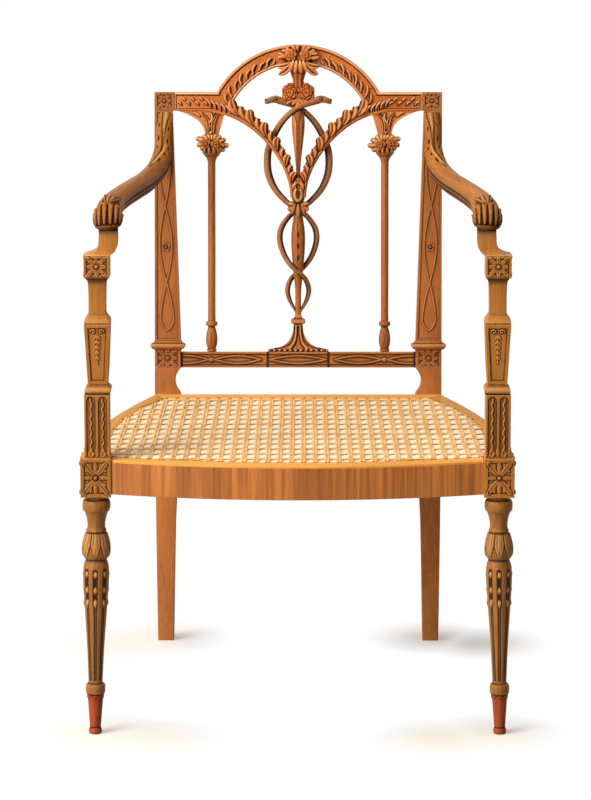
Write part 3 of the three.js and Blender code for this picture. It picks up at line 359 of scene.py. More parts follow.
    def rosette(self, face, centre, radius, rings, rise, stretch=1.0, turn=1, foot=-7.5, fine=1.0):
        """Rings of lobed petals that step up to an eye, with painted shade in the eye, the gaps and the seams
        and a painted highlight on each lip; turn mirrors it, fine thins its lines.
        """
        angle = full_turn(120)
        share = np.linspace(1, 0.02, 70)[:, None]
        reach = radius * share
        height = rise * np.sqrt(1 - 0.97 * share ** 2) + 0 * angle
        dark = 0 * height
        for part, petals, start in rings:
            lobe = abs(np.cos(petals / 2 * (angle - start))) ** 0.7
            past = (reach - radius * part * (0.76 + 0.24 * lobe)) / fine
            lip = peak(past + 1.3, 1.1) * (0.3 + 0.7 * lobe)
            gap = peak(past - 0.7, 0.8)
            seam = peak(lobe, 0.4) * (past < 0) * np.exp(past / 3)
            height = height + fine * (1.4 * lip - gap - 0.8 * seam)
            dark = np.maximum(np.maximum(dark - 0.85 * lip, gap), seam)
        dark = np.maximum(dark - 0.25, peak(reach, 1.4))
        petals, start = rings[0][1:]
        reach = reach * (0.85 + 0.15 * abs(np.cos(petals / 2 * (angle - start))) ** 0.7)
        across = centre[0] + turn * reach * np.cos(angle)
        up = centre[1] + stretch * reach * np.sin(angle)
        self.skin(np.concatenate([face(across[:1], up[:1], foot + 0 * up[:1]), face(across, up, height)]),
                  np.concatenate([dark[:1], dark]))

    def turned(self, outline, place, sides=64, relief=None, lean=None, flat=1.0, dark=0.0):
        """An upright turned body; relief moves its surface and gives its painted shading, and without it dark
        is painted shade over the whole body.
        """
        radius, height = np.asarray(outline, float).T
        angle = full_turn(sides)
        out, hollow = relief(angle, height[:, None], radius[:, None]) if relief else (0, dark)
        reach = radius[:, None] + out
        shift = lean(height)[:, None] if lean else 0
        self.skin(
            place(shift + reach * np.cos(angle), flat * reach * np.sin(angle), height[:, None]),
            hollow + 0 * reach,
        )

    def stack(self, rows, radius, place=None):
        """An upright body of rounded rectangles: sides, front, back, height and painted shade of each."""
        rings = [rounded_box(rectangle(*row[:5]), radius) for row in rows]
        if place:
            rings = [place(*ring.T) for ring in rings]
        self.skin(rings, np.array([row[5] for row in rows])[:, None])

    def swept(self, path, across, widths, depths, sides=32, relief=None):
        """An oval body along a path; its width lies across the path and the given axis."""
        path = np.asarray(path, float)
        way = headings(path)
        wide = unit(np.cross(way, across))
        deep = unit(np.cross(wide, way))
        angle = full_turn(sides)
        share = np.linspace(0, 1, len(path))[:, None]
        out, hollow = relief(angle, share) if relief else (0, 0)
        half_wide = np.asarray(widths)[:, None] / 2 + out
        half_deep = np.asarray(depths)[:, None] / 2 + out
        rings = (
            path[:, None] + wide[:, None] * (half_wide * np.cos(angle))[..., None]
            + deep[:, None] * (half_deep * np.sin(angle))[..., None]
        )
        self.skin(rings, hollow + 0 * half_wide * angle)

    def mirrored(self):
        twin = Body()
        twin.points = [points * (-1, 1, 1) for points in self.points]
        twin.hollows, twin.quads, twin.caps, twin.total = self.hollows, self.quads, self.caps, self.total
        return twin


class Relief:
    """A carved face: heights and painted shading over a grid of distances across and up."""

    def __init__(self, halves, up, step=0.6):
        rows = max(2, round((up[1] - up[0]) / step)) + 1
        columns = max(2, round(2 * max(halves) / step)) + 1
        half = np.linspace(halves[0], halves[1], rows)[:, None]
        self.v = np.repeat(np.linspace(*up, rows)[:, None], columns, axis=1)
        self.u = half * np.linspace(-1, 1, columns)
        self.rim = np.minimum(half - abs(self.u), np.minimum(self.v - up[0], up[1] - self.v))
        self.h, self.dark = np.zeros_like(self.u), np.zeros_like(self.u)
        self.ground = self.h

    def sink(self, inside, depth):
        """Lowers the ground where inside, a signed distance, is above 0, with painted shade along its edge.
        """
        step = held(inside / 0.5)
        self.h = self.h - depth * step
        self.shade(held(1.3 - inside / 1.9) * (inside > 0))
        self.ground = self.h.copy()

    def field(self, margin, depth):
        self.sink(self.rim - margin, depth)

    def lay(self, height, dark, inside, painted_shadow_width=1.5):
        """Raised work: height over the ground where inside, a signed distance, is above 0, with a painted
        shadow on the ground round it.
        """
        raised = self.ground + height
        wins = (inside > 0) & (raised > self.h - 1e-9)
        self.h = np.where(wins, raised, self.h)
        self.dark = np.where(wins, dark, self.dark)
        self.shade(held(1.3 + inside / painted_shadow_width) * (inside <= 0) * (self.h <= self.ground + 0.05))

    def leaf(self, base, tip, width, rise, bend=0.0, vein=0.8, point=0.42, painted_shadow_width=1.5):
        du, dv = tip[0] - base[0], tip[1] - base[1]
        length = math.hypot(du, dv)
        along = ((self.u - base[0]) * du + (self.v - base[1]) * dv) / length ** 2
        within = held(along)
        across = ((self.v - base[1]) * du - (self.u - base[0]) * dv) / length
        across = across - bend * np.sin(math.pi * within)
        half = width / 2 * leaf_breadth(0.02 + 0.96 * within, point)
        half = np.where((along < 0) | (along > 1), 0.01, half)
        share = held(abs(across) / half)
        groove = peak(across / half, 0.2)
        height = rise * ((0.55 + 0.45 * within) * np.sqrt(1 - share ** 2) - 0.4 * vein * groove)
        crest = peak(share - 0.5 * min(vein, 1), 0.3)
        # Painted shade in the vein and at the edges, a painted highlight along the crests
        dark = held(vein * groove + held(share - 0.75) * 3.2 - 0.7 * crest, -1)
        self.lay(height, dark, half - abs(across) - np.where((along < 0) | (along > 1), 3, 0), painted_shadow_width)

    def boss(self, centre, radius, rise):
        reach = np.hypot(self.u - centre[0], self.v - centre[1])
        share = held(reach / radius)
        # Painted shade round the rim, a painted highlight on top
        self.lay(rise * np.sqrt(1 - share ** 2), 1.4 * share ** 4 - 0.8 * (1 - share ** 2), radius - reach)

    def cord(self, path, width, rise, edge=0.9, painted_shadow_width=1.5):
        path = np.asarray(path, float)
        reach = np.full(self.u.shape, 1e3)
        for start, end in zip(path[:-1], path[1:]):
            way = end - start
            share = ((self.u - start[0]) * way[0] + (self.v - start[1]) * way[1]) / max(way @ way, 1e-9)
            share = held(share)
            reach = np.minimum(reach, np.hypot(
                self.u - start[0] - share * way[0], self.v - start[1] - share * way[1]))
        share = held(reach / (width / 2))
        # Painted shade along the edges, a painted highlight along the top
        dark = edge * share ** 3 - 0.5 * (1 - share ** 2)
        self.lay(rise * np.sqrt(1 - share ** 2), dark, width / 2 - reach, painted_shadow_width)

    def flower(self, centre, radius, petals, rise, width, turn=0.0):
        for i in range(petals):
            way = toward(turn + TURN * i / petals)
            self.leaf(centre + 0.12 * radius * way, centre + radius * way, width, rise)

    def shade(self, dark):
        self.dark = np.maximum(self.dark, dark)

    def shade_ring(self, centre, radius):
        """A ring of painted shade round a flower's eye."""
        self.shade(peak(np.hypot(self.u, self.v - centre[1]) - radius, 1.1))

    def onto(self, body, face, middle=0.0, skirt=2.2):
        """Closes the relief into a patch on a face of the body, round an upright middle line."""
        edge = 0.6
        near = np.clip(self.rim, 0, edge)
        fall = edge - np.sqrt(np.maximum(edge ** 2 - (edge - near) ** 2, 0))
        inset = 0.15 / np.maximum(abs(self.u).max(), 1)
        u = self.u + middle
        low = self.u * (1 - inset) + middle
        body.cover(face(u, self.v, self.h - fall), self.dark, face(low, self.v, -skirt - edge))


# Materials: a socket whose sums and products add their Math nodes
class Value:
    def __init__(self, paint, socket):
        self.paint, self.socket = paint, socket

    def math(self, operation, first, second=0.0):
        return self.paint.node("Math", {"operation": operation}, {0: first, 1: second})

    def __add__(self, other):
        return self.math("ADD", self, other)

    def __sub__(self, other):
        return self.math("SUBTRACT", self, other)

    def __rsub__(self, other):
        return self.math("SUBTRACT", other, self)

    def __mul__(self, other):
        return self.math("MULTIPLY", self, other)

    __radd__ = __add__
    __rmul__ = __mul__

    def within(self, low, high):
        """The value spread from low..high to 0..1 and held there."""
        ends = {"Value": self, "From Min": low, "From Max": high}
        return self.paint.node("MapRange", {"clamp": True}, ends)


class Paint:
    """A material and its nodes."""

    def __init__(self, name, owner=None):
        self.material = owner or bpy.data.materials.new(name)
        self.material.use_nodes = True
        self.nodes, self.links = self.material.node_tree.nodes, self.material.node_tree.links
        self.nodes.clear()

    def node(self, kind, settings, sockets, output=0):
        added = self.nodes.new("ShaderNode" + kind)
        for name, value in settings.items():
            setattr(added, name, value)
        for key, value in sockets.items():
            if isinstance(value, Value):
                self.links.new(value.socket, added.inputs[key])
            else:
                added.inputs[key].default_value = value
        return Value(self, added.outputs[output]) if added.outputs else None

    def mix(self, factor, first, second):
        return self.node("Mix", {"data_type": "RGBA"}, {0: factor, 6: first, 7: second}, 2)

    def stretched(self, scale):
        """Places on the chair, stretched by the given factors."""
        place = self.node("TexCoord", {}, {}, "Object")
        return self.node("VectorMath", {"operation": "MULTIPLY"}, {0: place, 1: scale})

    def noise(self, scale, detail=3.0, roughness=0.55, distortion=0.0):
        return self.node("TexNoise", {}, {
            "Vector": self.stretched(scale), "Scale": 1.0, "Detail": detail,
            "Roughness": roughness, "Distortion": distortion,
        })

    def hollow(self):
        """The mesh's painted shading, from -1, a painted highlight on a ridge, to 1, painted shade deep in
        the carved recesses.
        """
        return self.node("Attribute", {"attribute_name": "hollow"}, {}, "Fac")

    def bump(self, height, strength, distance):
        return self.node("Bump", {}, {"Strength": strength, "Distance": distance, "Height": height})

    def finish(self, sockets):
        shader = self.node("BsdfPrincipled", {}, sockets)
        self.node("OutputMaterial", {}, {"Surface": shader})
        return self.material


def tone(red, green, blue):
    """A colour given as it looks, from 0 to 255, as the shader wants it."""
    def linear(part):
        part /= 255
        return part / 12.92 if part <= 0.04045 else ((part + 0.055) / 1.055) ** 2.4
    return (linear(red), linear(green), linear(blue), 1.0)


# The colour of painted shade
PAINTED_SHADE_BROWN = tone(46, 20, 8)
AXES = {"x": (12, 260, 260), "y": (260, 12, 260), "z": (260, 260, 12)}
BROAD = {"x": (4, 24, 24), "y": (24, 4, 24), "z": (24, 24, 4)}


def wood(name, light, deep, painted_highlight, grain="z", figure=0.0, shine=0.46, gloss=0.2):
    """Polished wood: grain along one axis, with painted shade in the recesses and painted highlights on the
    ridges.
    """
    paint = Paint(name)
    light, deep, painted_highlight = tone(*light), tone(*deep), tone(*painted_highlight)
    fine = paint.noise(AXES[grain], detail=4.0, roughness=0.6)
    broad = paint.noise(BROAD[grain], detail=2.0, distortion=0.4)
    speck = paint.noise((900, 900, 900), detail=1.0)
    mottle = fine.within(0.3, 0.7) * 0.4 + broad.within(0.3, 0.7) * 0.35 + speck.within(0.35, 0.65) * 0.25
    colour = paint.mix(mottle, deep, light)
    if figure:
        bands = paint.noise((52, 52, 2), detail=3.0, roughness=0.6, distortion=0.2).within(0.42, 0.6)
        streaks = paint.noise((190, 190, 5), detail=2.0, roughness=0.6).within(0.45, 0.62)
        colour = paint.mix(bands * figure * 0.75, colour, tone(142, 72, 28))
        colour = paint.mix(streaks * figure * 0.6, colour, tone(122, 58, 20))
    painted_shading_value = paint.hollow()
    # Painted highlight: sharp ridges, and places whose painted shading is below 0, turn towards the highlight
    # colour
    ridge = paint.node("NewGeometry", {}, {}, "Pointiness").within(0.52, 0.64) * 0.5
    colour = paint.mix(ridge + (0 - painted_shading_value).within(0, 1) * 0.7, colour, painted_highlight)
    # Painted shade: ambient occlusion and the painted shading darken the colour towards the shade colour
    open_sky = paint.node("AmbientOcclusion", {"samples": 8}, {"Distance": 0.005}, "AO")
    shade = 1 - (1 - painted_shading_value.within(0, 1)) * open_sky.within(-0.3, 0.65)
    colour = paint.mix(shade.within(0, 1), colour, PAINTED_SHADE_BROWN)
    bump = paint.bump(fine + speck * 0.3, 0.25, 0.0004)
    rough = fine * 0.14 + shade * 0.2 + (shine - 0.07)
    return paint.finish({
        "Base Color": colour, "Roughness": rough, "Normal": bump,
        "Specular IOR Level": gloss, "Coat Weight": gloss * 0.1, "Coat Roughness": 0.3,
    })


satin_post = wood("satinwood_upright", (208, 132, 52), (138, 82, 30), (252, 200, 122))
# The back posts' and columns' satinwood is a darker copy of the uprights' wood: painted shade
darkened_back_wood = wood("back_post_satinwood_painted_shade", (188, 112, 50), (128, 70, 30), (250, 182, 110))
leg_wood = wood("front_leg_satinwood", (196, 126, 56), (112, 68, 28), (252, 200, 128))
# The rear legs' satinwood is a lighter copy that makes up for the shade under the seat: painted light
lightened_rear_wood = wood("rear_leg_satinwood_painted_light", (232, 142, 72), (176, 98, 44), (248, 176, 110))
foot_wood = wood("reddened_foot", (206, 98, 48), (112, 50, 26), (250, 160, 100), gloss=0.1)
satin_rail = wood("satinwood_level", (186, 116, 52), (122, 70, 28), (240, 174, 100), grain="x")
satin_arm = wood("satinwood_arm", (188, 118, 50), (108, 64, 28), (252, 200, 130), grain="y", gloss=0.04)
crest_wood = wood("crest_satinwood", (222, 126, 54), (158, 76, 30), (252, 198, 140), grain="x", gloss=0.14)
leaf_wood = wood("leaf_satinwood", (196, 114, 48), (134, 70, 28), (250, 190, 116))
strand_wood = wood("strand_satinwood", (178, 112, 56), (112, 68, 36), (244, 186, 120))
veneer = wood("striped_veneer", (214, 130, 58), (186, 106, 46), (226, 154, 80), figure=1.0, shine=0.54)
border_wood = wood("seat_border", (236, 170, 80), (206, 134, 54), (248, 196, 120), grain="x", gloss=0.04)
side_wood = wood("side_border", (216, 155, 68), (188, 124, 46), (240, 188, 106), grain="y", gloss=0.04)
block_wood = wood("plain_beech", (206, 170, 124), (168, 128, 84), (224, 194, 150), grain="x", shine=0.6)


def cane_paint(name, light, deep):
    paint = Paint(name)
    light, deep = tone(*light), tone(*deep)
    fine = paint.noise((260, 260, 260), detail=2.0)
    broad = paint.noise((26, 26, 26), detail=2.0)
    colour = paint.mix(broad.within(0.35, 0.65), deep, light)
    colour = paint.mix(fine.within(0.5, 0.7) * 0.3, colour, tone(196, 138, 76))
    # Painted shade where the strands cross and dip under each other
    colour = paint.mix(paint.hollow() * 0.65, colour, tone(150, 92, 40))
    bump = paint.bump(fine, 0.3, 0.0003)
    return paint.finish({
        "Base Color": colour, "Roughness": fine * 0.2 + 0.5, "Normal": bump, "Specular IOR Level": 0.3,
    })


def steel_paint():
    paint = Paint("screw_steel")
    fine = paint.noise((700, 90, 700), detail=2.0)
    colour = paint.mix(fine, tone(120, 118, 114), tone(176, 174, 168))
    return paint.finish({"Base Color": colour, "Roughness": fine * 0.2 + 0.28, "Metallic": 1.0})


cane_finish = cane_paint("split_cane", (240, 190, 120), (220, 164, 92))
pale_cane_finish = cane_paint("pale_split_cane", (255, 241, 208), (255, 231, 188))
steel_finish = steel_paint()


def made(name, body, finish, replaces=(), sharp=38):
    """Turns a shaped body into a piece of the chair."""
    mesh = bpy.data.meshes.new(name)
    points = np.concatenate(body.points) * MM
    quads = np.concatenate(body.quads).reshape(-1, 4)
    corners = np.concatenate([quads.reshape(-1)] + body.caps)
    sizes = np.concatenate([np.full(len(quads), 4), [len(cap) for cap in body.caps]]).astype(int)
    mesh.vertices.add(len(points))
    mesh.vertices.foreach_set("co", points.astype(np.float32).ravel())
    mesh.loops.add(len(corners))
    mesh.loops.foreach_set("vertex_index", corners.astype(np.int32))
    mesh.polygons.add(len(sizes))
    mesh.polygons.foreach_set("loop_start", np.concatenate([[0], np.cumsum(sizes)[:-1]]).astype(np.int32))
    # The painted shading, both shade and highlight, goes onto the mesh as a point attribute
    hollow = mesh.attributes.new("hollow", "FLOAT", "POINT")
    hollow.data.foreach_set("value", np.concatenate(body.hollows).astype(np.float32))
    mesh.update(calc_edges=True)
    mesh.validate()
    work = bmesh.new()
    work.from_mesh(mesh)
    bmesh.ops.recalc_face_normals(work, faces=work.faces)
    work.to_mesh(mesh)
    work.free()
    mesh.polygons.foreach_set("use_smooth", np.ones(len(mesh.polygons), bool))
    mesh.set_sharp_from_angle(angle=math.radians(sharp))
    mesh.materials.append(finish)
    piece = bpy.data.objects.new(name, mesh)
    bpy.context.scene.collection.objects.link(piece)
    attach(piece, "root")
    if replaces:
        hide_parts(*replaces)
    return piece


def made_pair(name, body, finish, replaces=()):
    for turn, side in SIDE_NAMES.items():
        twin = body if turn > 0 else body.mirrored()
        made(f"{name}_{side}", twin, finish, [f"{node}_{side}" for node in replaces])


# Front legs: toe, cone foot, ring, fluted shaft, leaf cup, neck and torus
LEG_RADIUS = 18.75
LEG_SPLAY = 5
FLUTES = 8
LEG_SHARES = [
    (0.4, 0), (0.46, 0.003), (0.485, 0.012), (0.46, 0.022), (0.415, 0.026), (0.415, 0.031),
    (0.47, 0.075), (0.53, 0.12), (0.59, 0.16), (0.6, 0.167), (0.7, 0.172), (0.73, 0.188),
    (0.73, 0.197), (0.69, 0.208), (0.56, 0.213), (0.535, 0.22), (0.55, 0.245), (0.6, 0.31),
    (0.67, 0.39), (0.755, 0.46), (0.84, 0.53), (0.93, 0.595), (0.98, 0.65), (0.97, 0.69),
    (0.89, 0.715), (0.79, 0.73), (0.775, 0.734), (0.86, 0.738), (0.97, 0.752), (1.02, 0.77),
    (1.01, 0.79), (0.94, 0.811), (0.85, 0.83), (0.76, 0.843), (0.7, 0.846), (0.74, 0.85),
    (0.74, 0.856), (0.69, 0.861), (0.655, 0.868), (0.68, 0.892), (0.755, 0.912), (0.84, 0.926),
    (0.86, 0.931), (0.95, 0.934), (1.02, 0.944), (1.04, 0.957), (1.02, 0.97), (0.95, 0.979),
    (0.8, 0.984), (0.8, 1),
]
CONE_TOP = 0.169
# Share of the height and of its spread, for each crease of painted shade
LEG_CREASES = [
    (0.734, 0.006), (0.847, 0.004), (0.215, 0.004), (0.984, 0.004), (CONE_TOP, 0.003), (0.0285, 0.004),
]
FLUTE_SPAN = (0.226, 0.7)
FLUTE_NARROWS = (0.525, 0.56)
FLUTE_HALF = (2.4, 3.9)
STOP_BEADS = (0.673, 0.607, 0.556)
CUP_SPAN = (0.741, 0.843)


def leg_relief(angle, height, radius):
    """Flutes with bead stops on the shaft, and leaves with their tips down round the cup."""
    share = height / LEG_HEIGHT
    phase = (angle / TURN * FLUTES + 0.5) % 1 - 0.5
    across = phase * TURN * radius / FLUTES
    half = np.interp(share, (FLUTE_SPAN[0], *FLUTE_NARROWS), (FLUTE_HALF[0], FLUTE_HALF[0], FLUTE_HALF[1]))
    arch_from = FLUTE_SPAN[1] * LEG_HEIGHT - FLUTE_HALF[1]
    past = np.maximum(height - arch_from, 0) + np.maximum(FLUTE_SPAN[0] * LEG_HEIGHT + 1 - height, 0)
    inside = np.sqrt(np.maximum(1 - (across ** 2 + past ** 2) / half ** 2, 0))
    depth = np.interp(share, (0.24, 0.5, 0.6), (1.5, 1.7, 2.4))
    bead, painted_highlight = 0 * inside, 0 * inside
    for place in STOP_BEADS:
        above = (height - place * LEG_HEIGHT) / 6.4
        swell = np.sqrt(np.maximum(1 - above ** 2 - (across / 2.9) ** 2, 0))
        bead = np.maximum(bead, swell)
        painted_highlight = np.maximum(painted_highlight, swell * held(0.55 + above))
    reed = peak(across, 0.42 * half) * held((FLUTE_NARROWS[1] - share) * 60)
    out = -depth * inside + bead * 2.6 + reed * 1.2 * inside
    # Painted shade in the flutes, a painted highlight on the beads' upper parts and along the reeds
    hollow = np.clip(inside * 1.5 - bead - painted_highlight * 1.6 - reed * 1.1 * (inside > 0), -0.45, 1)
    rise = (share - CUP_SPAN[0]) / (CUP_SPAN[1] - CUP_SPAN[0])
    on_cup = (rise > 0) & (rise < 1)
    leaf_half = np.clip(rise / 0.55, 0.01, 1) ** 0.7 * 0.94
    edge = abs(phase) * 2 / leaf_half
    strokes = peak(abs(phase) * 2 - 0.42, 0.09) * held((rise - 0.35) * 4)
    vein = peak(phase * 2, 0.08) * held((0.55 - rise) * 5)
    gap = peak(edge - 1.05, 0.13)
    behind = held((edge - 1) * 6)
    out = np.where(on_cup, 1.0 - 1.6 * gap - 1.1 * behind - 0.8 * strokes - 0.4 * vein, out)
    # Painted shade in the gaps between the cup's leaves, in their strokes and in the vein
    hollow = np.where(on_cup, held(gap + 0.8 * strokes + 0.6 * vein + 0.35 * behind - 0.3, -1), hollow)
    crease = sum(peak(share - place, width) for place, width in LEG_CREASES)
    tips = (1 - abs(phase) * 2 - (CONE_TOP - share) / 0.02) * ((share > 0.14) & (share < CONE_TOP))
    rim = peak(tips, 0.16) * (share > 0.14) * (share < CONE_TOP - 0.003)
    out = out + 0.7 * (tips > 0)
    # Painted shade in the creases and round the cone's leaf tips
    return out, held(hollow + 0.9 * crease + 0.8 * rim, -1)


def leg_lean(height):
    return LEG_SPLAY * (1 - height / LEG_HEIGHT)


def front_leg(body, foot):
    """The leg over the block, with its cone foot kept apart for its own colour."""
    outline = profile(LEG_SHARES, 480, radius=LEG_RADIUS, height=LEG_HEIGHT)
    outline = np.vstack([outline, (LEG_RADIUS * LEG_SHARES[-1][0], LEG_HEIGHT + 2)])
    split = np.searchsorted(outline[:, 1], CONE_TOP * LEG_HEIGHT)
    for part, stretch in ((foot, outline[:split + 1]), (body, outline[split:])):
        part.turned(stretch, standing(POST_X, FRONT_BLOCK / 2), sides=128, relief=leg_relief, lean=leg_lean)


# The post over the leg: leafy block, reeded length, tapered panel, patera block and neck
SUPPORT_WIDTH = 36.5
SUPPORT_HEIGHT = 313
SUPPORT_X = POST_X - 4
# Height, then inner edge, outer edge and half depth as shares of the width, and painted shade
SUPPORT_SHARES = [
    (0, -0.43, 0.52, 0.47, 0), (0.284, -0.43, 0.52, 0.47, 0.2), (0.2845, -0.4, 0.49, 0.44, 1),
    (0.289, -0.4, 0.49, 0.44, 1), (0.29, -0.45, 0.47, 0.46, 0.8), (0.293, -0.48, 0.49, 0.48, 0.3),
    (0.3, -0.495, 0.505, 0.5, 0), (0.307, -0.485, 0.49, 0.49, 0), (0.314, -0.44, 0.44, 0.45, 0),
    (0.319, -0.4, 0.4, 0.4, 0.5), (0.322, -0.37, 0.37, 0.37, 0.5), (0.33, -0.375, 0.37, 0.38, 0),
    (0.4, -0.42, 0.39, 0.42, 0), (0.49, -0.45, 0.45, 0.45, 0), (0.595, -0.49, 0.5, 0.49, 0),
    (0.606, -0.49, 0.5, 0.49, 0.1), (0.612, -0.475, 0.485, 0.475, 0), (0.632, -0.36, 0.36, 0.37, 0),
    (0.64, -0.33, 0.33, 0.35, 0.35), (0.648, -0.325, 0.325, 0.34, 0), (0.72, -0.33, 0.32, 0.34, 0),
    (0.77, -0.345, 0.33, 0.35, 0.1), (0.79, -0.375, 0.355, 0.38, 0.8), (0.802, -0.44, 0.43, 0.44, 0.9),
    (0.806, -0.48, 0.49, 0.49, 0.3), (0.81, -0.48, 0.49, 0.49, 0), (0.898, -0.48, 0.49, 0.49, 0),
    (0.902, -0.5, 0.46, 0.48, 0), (0.908, -0.57, 0.25, 0.44, 0), (0.922, -0.7, 0.03, 0.4, 0),
    (0.94, -0.77, -0.05, 0.385, 0), (0.96, -0.79, -0.075, 0.38, 0), (0.985, -0.79, -0.085, 0.38, 0.2),
    (1.01, -0.79, -0.09, 0.38, 0.9),
]
REEDED_TOP = 0.284
CARVED_SPANS = ((0, REEDED_TOP), (0.33, 0.595), (0.81, 0.898))
DROP_SPAN = (0.33, 0.597)
PATERA_SPAN = (0.808, 0.9)
SUNK = 2.0


def support_at(column, height):
    heights = [BLOCK_TOP + row[0] * SUPPORT_HEIGHT for row in SUPPORT_SHARES]
    return np.interp(height, heights, [row[column] * SUPPORT_WIDTH for row in SUPPORT_SHARES])


def support_widths(height):
    """Half the post's front at a height, its middle line, and half of its side."""
    inner, outer, deep = (support_at(column, height) for column in (1, 2, 3))
    return (outer - inner) / 2, SUPPORT_X + (inner + outer) / 2, deep


SUPPORT_FRONT = facing_front(lambda up: FRONT_BLOCK / 2 - support_at(3, up))
SUPPORT_SIDE = facing_side(lambda up: SUPPORT_X + support_at(2, up), FRONT_BLOCK / 2)


def arm_support():
    """The plain body of the post, sunk where a carved face covers it."""
    body, rows = Body(), []
    for share, inner, outer, deep, dark in SUPPORT_SHARES:
        carved = any(low <= share <= high for low, high in CARVED_SPANS)
        cut, half = SUNK if carved else 0, deep * SUPPORT_WIDTH
        rows.append((
            SUPPORT_X + inner * SUPPORT_WIDTH, SUPPORT_X + outer * SUPPORT_WIDTH - cut,
            FRONT_Y + FRONT_BLOCK / 2 - half + cut, FRONT_Y + FRONT_BLOCK / 2 + half,
            BLOCK_TOP + share * SUPPORT_HEIGHT, dark,
        ))
    body.stack(rows, 1.0)
    return body


def reeded_face(half):
    """Two arched channels with a twisted ribbon in each, over leaf points."""
    low, high = BLOCK_TOP, BLOCK_TOP + REEDED_TOP * SUPPORT_HEIGHT
    work = Relief((half, half), (low, high), 0.55)
    reach = half * 0.47
    channel_half = half * 0.36
    for turn in (-1, 1):
        across = work.u - turn * reach
        past = np.maximum(work.v - (high - 2.5 - channel_half), 0)
        work.sink(channel_half - np.hypot(across, past) - np.clip(low + 9 - work.v, 0, 9), 1.7)
    # Painted shade over the sunk channels
    work.shade(0.5 * (work.h < -1))
    for turn in (-1, 1):
        rise = np.linspace(low + 10, high - 6, 60)
        wave = turn * reach + 1.0 * np.sin((rise - low) * TURN / 13)
        work.cord(pairs(wave, rise), 3.0, 2.0, edge=0.3)
    for place in (-0.94, 0, 0.94):
        work.leaf((place * half, low + 1), (place * half, low + 15), half * 0.34, 1.1, vein=0.3)
    for place in (-0.47, 0.47):
        work.leaf((place * half, low + 14), (place * half, low + 1), half * 0.5, 1.6, vein=0.9)
    return work


def drop_face(halves, low, high):
    """A sunk panel with two scrolls and a drop of husks."""
    work = Relief(halves, (low, high), 0.55)
    work.field(4.6, 1.6)
    top = high - 4.6
    for turn in (-1, 1):
        curl = [(turn * (5.4 + 4.0 * (1 - t) * math.cos(t * 7)), top - 5.2 + 3.8 * (1 - t) * math.sin(t * 7))
                for t in np.linspace(0, 0.85, 18)]
        work.cord(curl, 2.2, 2.2)
    for i in range(5):
        size = 7.6 - i * 0.7
        head = top - 9.5 - i * 7.0
        for turn in (-1, 1):
            work.leaf((turn * 0.3, head), (turn * size * 0.5, head - 6.4), size * 0.5, 1.9, vein=0,
                      point=0.3, painted_shadow_width=0.8)
        work.leaf((0, head - 1), (0, head - 7.4), 2.4, 2.5, vein=0, painted_shadow_width=0.5)
    work.leaf((0, top - 44), (0, top - 51), 2.8, 1.8, vein=0, painted_shadow_width=0.8)
    return work


def patera_face(half, low, high, margin=3.4, petals=8):
    """A sunk square with an open flower."""
    work = Relief((half, half), (low, high), 0.5)
    work.field(margin, 1.7)
    # Painted shade over the sunk field
    work.shade(0.5 * (work.h < -1))
    middle = np.array([0, (low + high) / 2])
    radius = half - margin - 0.6
    for i in range(4):
        angle = math.pi / 4 + i * math.pi / 2
        way = toward(angle)
        work.leaf(middle + way * radius * 0.5, middle + way * radius * 1.3, radius * 0.5, 1.1)
    work.flower(middle, radius * 0.96, petals, 1.8, 3.9 * radius / petals)
    work.shade_ring(middle, radius * 0.3)
    work.boss(middle, radius * 0.2, 3.0)
    return work


def leafy_face(half, low, high):
    """A sunk square filled with a leafy flower whose leaves curl into the corners."""
    work = Relief((half, half), (low, high), 0.5)
    work.field(5, 2.0)
    middle = np.array([0, (low + high) / 2])
    wide, tall = half - 5.0, (high - low) / 2 - 5.0
    for way in ((1, 0), (0, 1), (-1, 0), (0, -1)):
        reach = np.array([wide * way[0], tall * way[1]])
        work.leaf(middle + reach * 0.2, middle + reach * 0.98, 7.0, 1.6, vein=0.5)
        work.boss(middle + reach * 0.62, 1.4, 2.4)
    for i in range(4):
        angle = math.pi / 4 + i * math.pi / 2
        way = np.array([wide * np.sign(math.cos(angle)), tall * np.sign(math.sin(angle))])
        for lean in ((1, 0.5), (0.5, 1)):
            work.leaf(middle + way * 0.4, middle + way * lean * 0.92, 4.6, 1.7, vein=0.3, painted_shadow_width=1.0)
        work.leaf(middle + way * 0.1, middle + way * 1.0, 8.4, 2.4, vein=1.0)
    work.shade_ring(middle, 3.9)
    work.boss(middle, 3.0, 3.6)
    return work


